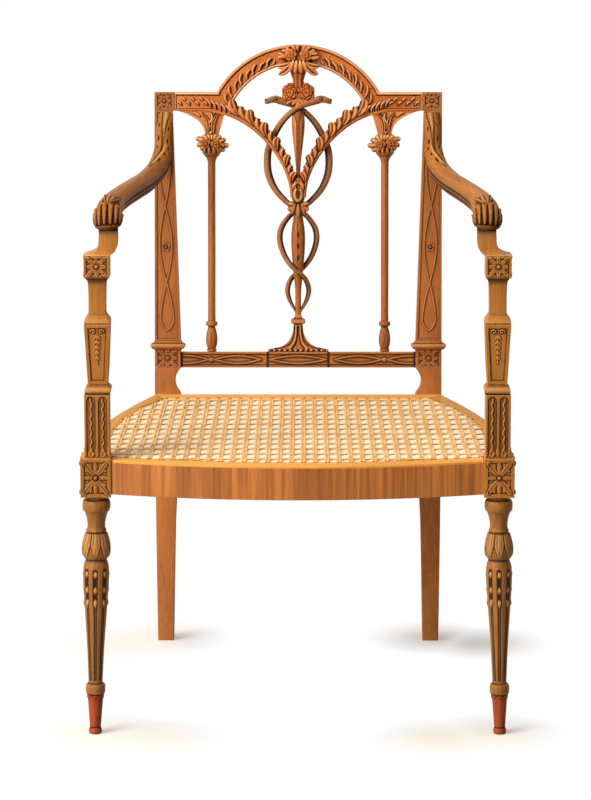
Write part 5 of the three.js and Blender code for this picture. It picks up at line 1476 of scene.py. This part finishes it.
def corbel():
    body = Body()
    foot = CAPITAL_TOP + 0.6
    reach = COLUMN_X + 10
    outer = quadratic((reach, foot), (reach, CORNER_RISE - 10), (CREST_HALF - FIT, CORNER_RISE + FIT), 20)
    inner = [(ARCH_FOOT_HALF + 4, CORNER_RISE - 3.2), (COLUMN_X - 10, foot)]
    body.plate(back_face(3), np.vstack([outer, [(ARCH_FOOT_HALF + 46, CORNER_RISE - FIT)], inner]), -1.4,
               -BACK_THICKNESS + 6, edge=0.6)
    face = back_face(4.4)
    edge = outer[1:-4] - (1.6, 0)
    body.strand(face, edge, 2.4, 1.4)
    x, top = COLUMN_X, CORNER_RISE
    # cast offsets each leaf's painted shadow, and dark adds painted shade to the leaves
    cast = np.array([-1.8, -1.2])
    body.leaf_with_painted_shadow(face, (x - 12, top - 3), (x - 2, foot + 3), 6.6, 4.0, -cast, bend=4, curl=1.6,
                  dark=0.25, section=VEINED)
    body.leaf_with_painted_shadow(face, (x + 14, top - 3), (x + 5, foot + 5), 6.4, 3.8, cast, bend=-4, curl=1.4,
                  dark=0.25, section=VEINED)
    body.leaf_with_painted_shadow(face, (x + 1, top - 3), (x + 3, top - 19), 5.4, 4.4, cast, bend=-3.0, low=0.4, curl=1.0)
    body.leaf_with_painted_shadow(face, (x + 30, top - 2.5), (x + 17, top - 9), 4.4, 2.6, cast, bend=-1.2)
    # A boss painted dark: painted shade of the scroll's eye
    body.dome(face, (x + 2, foot + 8.5), 2.6, 1.6, low=0.6, dark=1.0)
    body.dome(face, (x + 1, foot + 3.5), 2.8, 2.8, low=0.2)
    made_pair("leafy_corbel", body, crest_wood, ["corbel"])


# Branches: a plain band along the lower edge with curled leaves that grow from it
CALYX_RISE, CALYX_HEIGHT = 283, 39
BRANCH_ROOT = np.array([ARCH_FOOT_HALF - FIT, ARCH_FOOT_RISE])
BRANCH_END = np.array([11.4, CALYX_RISE + 8])
BRANCH_PULLS = [(0.484, 0.133), (-0.01, 0.605)]
BRANCH_LEAVES = 12
BRANCH_LEAF = 25.0
BRANCH_DEPTH = 7


def branch():
    span, drop = BRANCH_ROOT[0] - BRANCH_END[0], BRANCH_END[1] - BRANCH_ROOT[1]
    pulls = [(BRANCH_END[0] + span * across, BRANCH_ROOT[1] + drop * down) for across, down in BRANCH_PULLS]
    curve = bezier([BRANCH_ROOT, *pulls, BRANCH_END], 120)
    way = headings(curve)
    normal = pairs(way[:, 1], -way[:, 0])
    share = np.linspace(0, 1, len(curve))
    band = 6.6 - 3.0 * share
    middle = curve + normal * (band / 2)[:, None]
    body = Body()
    tube = on_back(middle[:, 0], BRANCH_DEPTH, middle[:, 1])
    across = (0, math.cos(RAKE), -math.sin(RAKE))
    body.swept(tube, across, band + 1.0, np.full(len(curve), 10.0), sides=20)
    face = back_face(BRANCH_DEPTH - 4)
    size = BRANCH_LEAF - 13.0 * share
    near = curve + normal * (band * 0.5)[:, None]
    far = curve + normal * (band + 0.54 * size)[:, None]
    # The plate under the leaves is painted dark as the shade between them, and each leaf gets a painted
    # shadow
    body.plate(face, np.vstack([near, far[::-1]]), 0.4, -6.5, edge=0.5, hollow=0.45)
    for i in range(BRANCH_LEAVES):
        place = (i + 0.5) / (BRANCH_LEAVES + 0.9)
        at = min(int(place * (len(curve) - 1)), len(curve) - 1)
        lean = math.radians(42 - 4 * place)
        grows = normal[at] * math.sin(lean) - way[at] * math.cos(lean)
        base = curve[at] + normal[at] * band[at] * 0.95 + way[at] * size[at] * 0.42
        large = i % 2 == 0
        wide = (4.6 + size[at] * 0.38) * (1 if large else 0.62)
        length = size[at] * (1.06 if large else 0.92)
        body.leaf_with_painted_shadow(face, base, base + grows * length, wide, 4.6 if large else 3.8, way[at] * 2.4,
                      bend=-size[at] * 0.14, low=0.6, high=1.0, curl=2.2, sink=7.5, stations=14,
                      point=0.34 if large else 0.5, section=LOBED if large else DOMED)
    made_pair("acanthus_branch", body, crest_wood, ["branch"])


# Two strands twined round the staff, each with an animal's head at its top
RIBBON_REACH, RIBBON_FOOT, RIBBON_TOP = 49.5, 122.5, 434.5
RIBBON_WIDTH, RIBBON_THICKNESS = 10.5, 6
# Across, up, depth of the front and of the rear strand, and width
RIBBON_SHARES = [
    (1, 0.995, 6, 6, 0.66), (0.93, 0.997, 6, 6, 0.78), (0.8, 1.003, 6, 6, 0.84), (0.68, 1.006, 6, 6.5, 1.02),
    (0.56, 1, 6, 7, 1.02), (0.38, 0.99, 5, 8.5, 0.86),
    (0.2, 0.982, 4.5, 11, 0.84), (0.05, 0.974, 4.5, 14.5, 0.8), (-0.218, 0.943, 6, 15, 0.8),
    (-0.517, 0.892, 12, 16, 0.84), (-0.8, 0.81, 18, 18, 0.95), (-0.909, 0.75, 16, 16, 1),
    (-0.907, 0.671, 13, 13, 1), (-0.826, 0.624, 12, 12, 0.95), (-0.673, 0.577, 10.5, 13, 0.86),
    (-0.36, 0.522, 7, 16, 0.76), (0, 0.48, 3.3, 18.7, 0.67), (0.2, 0.461, 4, 18, 0.67),
    (0.39, 0.427, 9, 13, 0.72), (0.52, 0.389, 11, 11, 0.8), (0.55, 0.343, 11, 11, 0.8),
    (0.485, 0.296, 12.5, 9.5, 0.78), (0.35, 0.249, 16, 6, 0.72), (0.16, 0.21, 20, 2, 0.67),
    (0, 0.188, 20.6, 1.4, 0.67), (-0.1, 0.173, 20, 2, 0.67), (-0.234, 0.148, 15, 7, 0.67),
    (-0.317, 0.105, 11, 11, 0.7), (-0.27, 0.061, 11, 11, 0.6), (-0.07, 0.0, 11, 11, 0.34),
]


def ribbon(turn, front):
    rows = [(
        turn * row[0] * RIBBON_REACH, row[2] if front else row[3],
        RIBBON_FOOT + row[1] * (RIBBON_TOP - RIBBON_FOOT), row[4],
    ) for row in RIBBON_SHARES]
    flat = spline([row[:3] for row in rows], 360)
    share = np.linspace(0, len(rows) - 1, len(flat))
    width = 1.05 * RIBBON_WIDTH * np.interp(share, range(len(rows)), [row[3] for row in rows])
    thickness = np.interp(share, (0, 2, 4, 8), (4.5, 8, 9, RIBBON_THICKNESS))

    def strand_relief(angle, along):
        """A mouth cut along the first part of the strand, in painted shade."""
        looks_front = peak((angle - 1.5 * math.pi) % TURN - 0.15 * turn, 0.16)
        mouth = looks_front * held((0.062 - along) * 60)
        return -1.0 * mouth, held(mouth * 1.1)

    body = Body()
    path = on_back(*flat.T)
    body.swept(path, (0, math.cos(RAKE), -math.sin(RAKE)), width, thickness, sides=28, relief=strand_relief)
    # Painted shade along each strand's inner edge, past the head
    reach = abs(path[:, None, 0]) - abs(body.points[-1].reshape(len(path), -1, 3)[..., 0])
    past_head = held(np.arange(len(path))[:, None] / 40 - 1.5)
    inner = held(reach / width[:, None] * 6 - 0.2) * past_head
    body.hollows[-1] = np.maximum(body.hollows[-1], inner.ravel())
    face = back_face(6)
    eye = (turn * RIBBON_REACH * 0.68, RIBBON_TOP + 2.6)
    body.leaf(face, (eye[0] - turn * 7, eye[1] + 1.6), (eye[0] + turn * 7, eye[1] + 2.0), 4.6, 2.0, low=3.0)
    # The dark domes round the eye and at the nose are painted shade
    body.dome(face, eye, 2.7, 1.4, low=4.0, dark=1.0)
    body.dome(face, eye, 1.2, 1.2, low=5.0)
    body.dome(face, (turn * RIBBON_REACH * 0.97, RIBBON_TOP + 0.6), 1.2, 0.7, low=2.4, dark=1.0)
    side = SIDE_NAMES[turn]
    made(f"twined_strand_{side}", body, strand_wood, [f"ribbon_{side}"])


# Centre staff: foot, ring, spindle, collar, calyx and bud
STAFF_DEPTH = 11
RING_RISE = 104
STAFF_RADIUS = 4.5
COLLAR_TOP = CALYX_RISE - FIT
COLLAR_RISE = COLLAR_TOP - 21.5
CALYX_TOP = CALYX_RISE + CALYX_HEIGHT
STAFF_TOP = 420
SPINDLE_SHARES = [
    (1.5, 0.056), (1.12, 0.075), (1, 0.13), (1, 0.32), (1.12, 0.36), (1.6, 0.493), (2.05, 0.64), (2.3, 0.79),
    (2.1, 0.9), (1.8, 0.96), (1.5, 1.03),
]
BUD_SHARES = [
    (0.66, 0), (0.72, 0.12), (1.02, 0.3), (1.6, 0.52), (2.02, 0.7), (2.15, 0.82), (1.98, 0.93), (1.4, 1),
]
# Half width, half depth, height and painted shade
SQUARE_RING = [
    (8.6, 7.6, 0, 0.9), (10.6, 9, 1.2, 0.3), (10.6, 9, 2.0, 0), (10.6, 9, 6.2, 0), (9.4, 8, 7.2, 0.9),
    (7, 6.6, 8, 1), (6.2, 6, 9.2, 0.3), (5.6, 5.6, 10.5, 0), (4.8, 4.8, 14, 0),
]
# Degrees round, reach and width of the collar's leaves; then radius and height of the cup
COLLAR_LEAVES = [(170, 15, 8), (10, 15, 8), (204, 17, 8.4), (336, 17, 8.4)]
CUP_ROWS = [(6.4, 0), (9.2, 5), (9.9, 12), (9.2, 18), (8.2, 24), (8.6, 31), (8.0, 37)]
FOOT_HALF, FOOT_HALF_TOP = 45, 6.8
# Across and up of the foot's ridge and of its two lines of painted shade
FOOT_RIDGE = [(3.0, 39), (3.5, 26), (6.2, 14), (13.5, 4.4)]
FOOT_LINES = [
    [(1.0, 38), (1.3, 26), (3.2, 13), (9.0, 4.4)],
    [(5.4, 39), (6.4, 26), (10.8, 13.5), (22, 6.6), (36, 4.6)],
]
FOOT_BEADS = 12


def front_turn(angle):
    """How far round from the front of a turned body, from -pi to pi."""
    return (angle + 1.5 * math.pi) % TURN - math.pi


def spindle_relief(angle, height, radius):
    """A wavy vein down the front with drops cut on it, both in painted shade, and painted shade round the
    sides away from the front.
    """
    share = (height - RING_RISE) / (COLLAR_RISE - RING_RISE)
    across = front_turn(angle) * radius
    on_spindle = held((share - 0.5) * 12) * held((0.97 - share) * 20)
    vein = peak(across - 0.8 * np.sin(height / 4), 0.8) * on_spindle
    drop = 0 * vein
    for place in (0.62, 0.73, 0.84):
        reach = ((share - place) / 0.028) ** 2 + ((across - 0.5) / 2.0) ** 2
        drop = np.maximum(drop, held(1.4 - reach))
    far = held(abs(front_turn(angle)) - 0.5) * 0.5 * on_spindle
    return -0.8 * vein - 0.9 * drop, held(0.8 * vein + drop + far)


def bud_relief(angle, height, radius):
    """Two leaf halves that meet down the front, parted by a V at the top, with painted shade in the seam and
    the V and a painted highlight along each half.
    """
    share = (height - CALYX_TOP) / (STAFF_TOP - CALYX_TOP)
    turn = abs(front_turn(angle))
    turn = np.minimum(turn, math.pi - turn)
    across = turn * radius
    parted = np.maximum(share - 0.8, 0) * 38
    seam = peak(across - 1.5 - parted, 0.8) * held(share * 6)
    inner = (across < parted + 0.7) & (share > 0.8)
    painted_highlight = peak(across - 4.6 - parted, 1.4) * held((share - 0.2) * 3)
    out = np.where(inner, -0.8, 0) - 0.9 * seam
    return out, held(seam + 0.4 * inner - 0.3 * painted_highlight, -1)


def staff():
    place = raked(0, STAFF_DEPTH)
    body = Body()
    spindle = profile(SPINDLE_SHARES, 220, RING_RISE, STAFF_RADIUS, COLLAR_RISE - RING_RISE)
    body.turned(spindle, place, sides=56, relief=spindle_relief)
    bud = profile(BUD_SHARES, 160, CALYX_TOP - 3, STAFF_RADIUS, STAFF_TOP - CALYX_TOP + 3)
    body.turned(bud, place, sides=72, relief=bud_relief)
    rings = [(-wide, wide, -deep, deep, RING_RISE + rise, dark) for wide, deep, rise, dark in SQUARE_RING]
    body.stack(rings, 1.4, place)
    core = [(4, COLLAR_RISE - 2), (8, COLLAR_RISE + 6), (9, COLLAR_TOP - 4), (7, COLLAR_TOP + 2)]
    # The collar's core is painted dark: painted shade among its leaves
    body.turned(core, place, sides=24, flat=0.8, dark=0.9)
    made("centre_staff_carved", body, leaf_wood, ["centre_staff"])

    collar = Body()
    middle = np.array([0, COLLAR_TOP - 3])
    front = domed(back_face(STAFF_DEPTH - 5), middle, 20, 5)
    rear = domed(rear_face(STAFF_DEPTH + 5), middle, 20, 4)
    for face in (front, rear):
        # The collar's leaves carry a little painted shade
        collar.spray(face, middle, COLLAR_LEAVES, lambda reach: 3, sink=4, dark=0.2)
        for turn in (-1, 1):
            collar.leaf(face, middle + (turn * 4.6, 2), middle + (turn * 9.6, -12.5), 7.4, 4.2, low=1.4,
                        curl=1.6, sink=3, dark=0.2)
        collar.leaf(face, middle + (0, 2), middle - (0, 17), 9.4, 4.6, low=2.4, curl=1.4, sink=3, dark=0.1)
    made("staff_collar", collar, leaf_wood)

    calyx = Body()
    calyx.turned(profile(CUP_ROWS, 40, CALYX_RISE), place, sides=40)
    face = domed(back_face(STAFF_DEPTH - 3), (0, CALYX_RISE + 12), 10.5, 6.5, stretch=2.2)
    loop = [(5.6 * math.sin(t), CALYX_RISE + 12.5 - 9.4 * math.cos(t)) for t in np.linspace(-2.6, 2.6, 40)]
    calyx.strand(face, loop, 5.6, 3.2, low=0.4, edge=1.0)
    # A flat dark leaf: painted shade of the slit inside the loop
    calyx.leaf(face, (0, CALYX_RISE + 8), (0, CALYX_RISE + 19), 2.8, 1.6, low=0.6, dark=1.2)
    for turn in (-1, 1):
        calyx.leaf(face, (turn * 4.4, CALYX_RISE + 18), (turn * 6.2, CALYX_TOP + 2), 7.6, 4.0, low=0.3,
                   curl=1.4, sink=4, point=0.3)
    rear = domed(rear_face(STAFF_DEPTH + 3), (0, CALYX_RISE + 12), 10.5, 6.5, stretch=2.2)
    for x in (-8, -3, 3, 8):
        calyx.leaf(rear, (x * 0.8, CALYX_RISE + 2), (x * 1.2, CALYX_TOP), 6, 2.0, sink=4, curl=1.2,
                   section=VEINED)
    made("staff_calyx_carved", calyx, leaf_wood, ["staff_calyx"])


def staff_foot():
    body = Body()
    low, top = LOWER_TOP + FIT, RING_RISE - FIT
    flare = quadratic((FOOT_HALF, low + 4), (FOOT_HALF_TOP, low + 4), (FOOT_HALF_TOP, top), 24)
    outline = np.vstack([[(-FOOT_HALF, low), (FOOT_HALF, low)], flare, flare[::-1] * (-1, 1)])
    body.plate(back_face(STAFF_DEPTH - 6.5), outline, -1.6, -13, edge=0.8)
    face = back_face(STAFF_DEPTH - 4.9)
    for turn in (-1, 1):
        ridge = spline([(turn * x, low + z) for x, z in FOOT_RIDGE], 24)
        body.strand(face, ridge, np.linspace(3.0, 4.6, 24), 2.4)
        for points in FOOT_LINES:
            body.line(face, spline([(turn * x, low + z) for x, z in points], 24), 2.0)
    bead_half = FOOT_HALF - 2
    # A flat dark band under the beads: painted shade
    body.strand(face, [(-FOOT_HALF + 0.5, low + 1.9), (FOOT_HALF - 0.5, low + 1.9)], 3.6, 0.6, dark=2.0)
    for x in (-bead_half + 2 * bead_half * i / (FOOT_BEADS - 1) for i in range(FOOT_BEADS)):
        body.dome(face, (x, low + 2.0), 2.2, 2.4, low=0.2)
    made("staff_foot_carved", body, leaf_wood, ["staff_foot"])


# Lower back rail with three sunk fields of long lens shapes
RAIL_END = POST_OUTER - POST_WAIST - FIT
FIELD_SPLIT = FOOT_HALF
LENS_END = 200


def lens(start, end, half):
    share = np.linspace(0, 1, 30)
    x = start + (end - start) * share
    return [pairs(x, turn * half * np.sin(math.pi * share)) for turn in (-1, 1)]


def lower_rail():
    body = Body()
    middle = (LOWER_RISE + LOWER_TOP) / 2
    half = (LOWER_TOP - LOWER_RISE) / 2
    body.plate(back_face(2), [
        (-RAIL_END, LOWER_RISE), (RAIL_END, LOWER_RISE), (RAIL_END, LOWER_TOP), (-RAIL_END, LOWER_TOP),
    ], -SUNK, -19, edge=0.8)

    def field(x0, x1, shapes, bosses):
        reach, centre = (x1 - x0) / 2, (x0 + x1) / 2
        work = Relief((reach, reach), (-half, half), 0.55)
        work.sink(half - 3.2 - abs(work.v), 1.5)
        for start, end, rise in shapes:
            for path in lens(start - centre, end - centre, rise):
                work.cord(path, 3.2, 1.9, edge=1.2, painted_shadow_width=2.0)
        for x in bosses:
            work.boss((x - centre, 0), 4.2, 3.0)
        # Painted shade at the ends of each field and near the rail's ends
        work.shade((reach - abs(work.u) < 1.8) | (abs(work.u + centre) > RAIL_END - 3.2))
        work.onto(body, lambda across, up, out: back_face(2)(across, up + middle, out), centre)

    field(-FIELD_SPLIT, FIELD_SPLIT, [(-42, 42, 5.6)], [])
    for turn in (-1, 1):
        outer = (turn * LENS_END, turn * (COLUMN_X + 4), 5.8)
        inner = (turn * (COLUMN_X - 4), turn * (FIELD_SPLIT + 10), 5.6)
        field(*sorted((turn * FIELD_SPLIT, turn * RAIL_END)), [outer, inner], [turn * COLUMN_X])
    made("lower_rail_carved", body, satin_rail, ["lower_back_rail"])


# Crown: two flowers among leaf tips, petals over a ridged bell, and two roses under it
BELL_TOP = ARCH_RISE + ARCH_INNER - FIT
# Radius of the bell, and height from its top
BELL_ROWS = [(4.5, -35), (7.0, -33), (7.7, -28), (7.4, -24.5), (9.6, -17), (12.2, -8), (12.6, 0)]
ROSE_RISE = 445.5
ROSE_X = 11.8
ROSE_RADIUS, ROSE_STRETCH = 13.4, 1.15
# Share of the radius, number of petals and turn of each ring
ROSE_RINGS = [(1.04, 6, 0.52), (0.72, 5, 0.1), (0.42, 3, 0.7)]
# Foot, tip and width of each leaf under a rose
ROSE_LEAVES = [((0.5, 438), (9, 428), 7), ((0, 438), (2, 423), 7), ((6, 436), (17, 430), 6)]


def crown():
    body = Body()
    middle = np.array([0, CROWN_RISE])
    face = domed(back_face(0), middle, 34, 4.5, stretch=0.8)
    # The base dome is painted dark as the shade between the leaves, and the leaves get a little painted shade
    # too
    body.dome(back_face(0), middle, 21, 3.5, low=-0.2, stretch=0.72, sides=40, dark=0.5)
    for i in range(11):
        angle = math.radians(2 + 176 * i / 10)
        way = np.array([30 * math.cos(angle), 19 * math.sin(angle)])
        body.leaf(face, middle + way * 0.5, middle + way, 7.6, 4.0, low=0.6, curl=1.8,
                  bend=1.0 if i % 2 else -1.0, point=0.3, dark=0.3)
    for turn in (-1, 1):
        for tip, wide, low in (((31, -13), 9.0, 0.8), ((28.5, -25), 10.0, 1.2)):
            body.leaf(face, middle + (turn * 9, -6), middle + (turn * tip[0], tip[1]), wide, 4.6, low=low,
                      curl=1.4, bend=-turn * 2.4, sink=5, section=VEINED)
        spot = middle + (turn * 11.1, 4)
        body.rosette(face, spot, 9.4, FLOWER_RINGS, 6.0, 1.0, turn, foot=0.0, fine=0.9)
    # Painted highlight towards the petals' roots and painted shade towards their tips
    for x in (-12.6, -4.4, 4.4, 12.6):
        body.leaf(face, middle + (x * 0.55, -4), middle + (x * 1.02, -23 + abs(x) * 0.25), 9.6, 5.0,
                  low=2.6, sink=6, point=0.26, curl=1.4, dark=0.35, root=-0.6)
    bell = profile(BELL_ROWS, 60, BELL_TOP)

    def ridges(angle, height, radius):
        phase = np.cos(angle * 7 + math.pi / 2)
        fade = held((BELL_TOP - 1 - height) / 4)
        # Painted shade in the bell's grooves
        return 0.9 * phase * fade, held(-phase * 0.7 - 0.1) * fade

    body.turned(bell, raked(0, 8), sides=90, relief=ridges, flat=0.75)
    made("crown_flower_carved", body, crest_wood, ["crown_flower"])


def rose(turn):
    body = Body()
    body.rosette(back_face(8), (turn * ROSE_X, ROSE_RISE), ROSE_RADIUS, ROSE_RINGS, 7.6, ROSE_STRETCH, turn)
    side = SIDE_NAMES[turn]
    made(f"carved_rose_{side}", body, crest_wood, [f"rose_{side}"])


def rose_leaves():
    body = Body()
    face = back_face(4)
    # A dark plate behind the leaves, and a little dark on the leaves: painted shade
    body.plate(back_face(9), [(-6, 430), (6, 430), (6, 458), (-6, 458)], 0, -6, edge=0.5, hollow=0.7)
    for turn in (-1, 1):
        for base, tip, wide in ROSE_LEAVES:
            body.leaf(face, (turn * base[0], base[1]), (turn * tip[0], tip[1]), wide, 2.6, low=0.4,
                      curl=0.8, sink=6, dark=0.3)
    made("leaves_under_roses", body, crest_wood)


# Solids that keep the shape they come with
CARRIED_OVER = (
    ("arm_screw", steel_finish), ("front_glue_block", block_wood), ("rear_glue_block", block_wood),
)


def carried_over():
    for node, finish in CARRIED_OVER:
        for side in SIDE_NAMES.values():
            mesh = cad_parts[f"{node}_{side}"].data
            mesh.materials.clear()
            mesh.materials.append(finish)


# Room, lamps and camera, in metres
FLOOR_REACH = 40.0
WHITE = (1.0, 1.0, 1.0, 1.0)
FLOOR_UNSEEN, FLOOR_LIT = (0.3, 0.28, 0.25, 1.0), (1.0, 0.86, 0.68, 1.0)
SOFT_AIR = 0.13
FRONT_FOOT, REAR_FOOT = (POST_X * MM, 0.24, 0), ((POST_OUTER - 12) * MM, 0.27, 0)
SHADOW_SPAN = (0.02, 0.1)
# Name, place, aim, width and power
LAMPS = [
    ("key_lamp", (-3.4, -2.6, 2.6), (0, 0, 0.5), 2.8, 230),
    ("top_lamp", (-0.6, -0.6, 4.0), (0, 0, 0.4), 2.0, 95),
    ("fill_lamp", (-2.6, -3.8, 0.6), (0, 0, 0.4), 2.4, 42),
]
CAMERA_PLACE = (0.011, FRONT_Y * MM - 5.5, 1.64)
CAMERA_LENS, CAMERA_SENSOR = 184.5, 36
CAMERA_TILT, CAMERA_ROLL = math.radians(78.1), 0.0025


def background_seen(paint):
    """1 for what the camera, a mirror or a glass sees of the background, 0 for its light on the chair."""
    seen, glossy, clear = (
        paint.node("LightPath", {}, {}, f"Is {kind} Ray") for kind in ("Camera", "Glossy", "Transmission"))
    return (seen + glossy + clear).within(0, 1)


def room():
    floor = bpy.data.meshes.new("floor")
    corners = [(x * FLOOR_REACH, y * FLOOR_REACH, 0) for x, y in ((-1, -1), (1, -1), (1, 1), (-1, 1))]
    floor.from_pydata(corners, [], [(0, 1, 2, 3)])
    paint = Paint("paper_floor")
    seen = background_seen(paint)
    lit = paint.node("BsdfDiffuse", {}, {"Color": paint.mix(seen, FLOOR_UNSEEN, FLOOR_LIT)})
    white = paint.node("Emission", {}, {"Color": WHITE, "Strength": 1.0})
    place = paint.node("VectorMath", {"operation": "ABSOLUTE"}, {0: paint.stretched((1, 1, 0))})
    front, rear = (paint.node("VectorMath", {"operation": "DISTANCE"}, {0: place, 1: foot}, "Value")
                   for foot in (FRONT_FOOT, REAR_FOOT))
    plain = (front.math("MINIMUM", front, rear).within(*SHADOW_SPAN) * 0.6 + 0.4) * seen
    mixed = paint.node("MixShader", {}, {0: plain, 1: lit, 2: white})
    paint.node("OutputMaterial", {}, {"Surface": mixed})
    floor.materials.append(paint.material)
    ground = bpy.data.objects.new("floor", floor)
    bpy.context.scene.collection.objects.link(ground)

    world = bpy.data.worlds.new("studio")
    bpy.context.scene.world = world
    air = Paint("studio", world)
    soft = air.node("Background", {}, {"Color": WHITE, "Strength": SOFT_AIR})
    white = air.node("Background", {}, {"Color": WHITE, "Strength": 1.0})
    mixed = air.node("MixShader", {}, {0: background_seen(air), 1: soft, 2: white})
    air.node("OutputWorld", {}, {"Surface": mixed})


def lamp(name, place, aim, size, power):
    light = bpy.data.lights.new(name, "AREA")
    light.shape, light.size, light.energy = "DISK", size, power
    holder = bpy.data.objects.new(name, light)
    bpy.context.scene.collection.objects.link(holder)
    holder.location = place
    way = np.array(place) - np.array(aim)
    yaw = math.atan2(way[0], -way[1])
    holder.rotation_euler = (math.atan2(math.hypot(way[0], way[1]), way[2]), 0, yaw)


def camera():
    eye = bpy.data.objects.new("camera", bpy.data.cameras.new("camera"))
    bpy.context.scene.collection.objects.link(eye)
    eye.data.lens = CAMERA_LENS
    eye.data.sensor_width = CAMERA_SENSOR
    eye.data.clip_end = 100
    eye.location = CAMERA_PLACE
    eye.rotation_euler = (CAMERA_TILT, 0, CAMERA_ROLL)
    bpy.context.scene.camera = eye


bpy.context.scene.view_settings.view_transform = "Standard"
camera()
room()
for row in LAMPS:
    lamp(*row)
front_posts()
arms()
seat_frame()
cane_seat()
back_posts()
crest_rail()
columns()
capital()
corbel()
branch()
ribbon(1, True)
ribbon(-1, False)
staff()
staff_foot()
lower_rail()
crown()
for turn in (-1, 1):
    rose(turn)
rose_leaves()
carried_over()
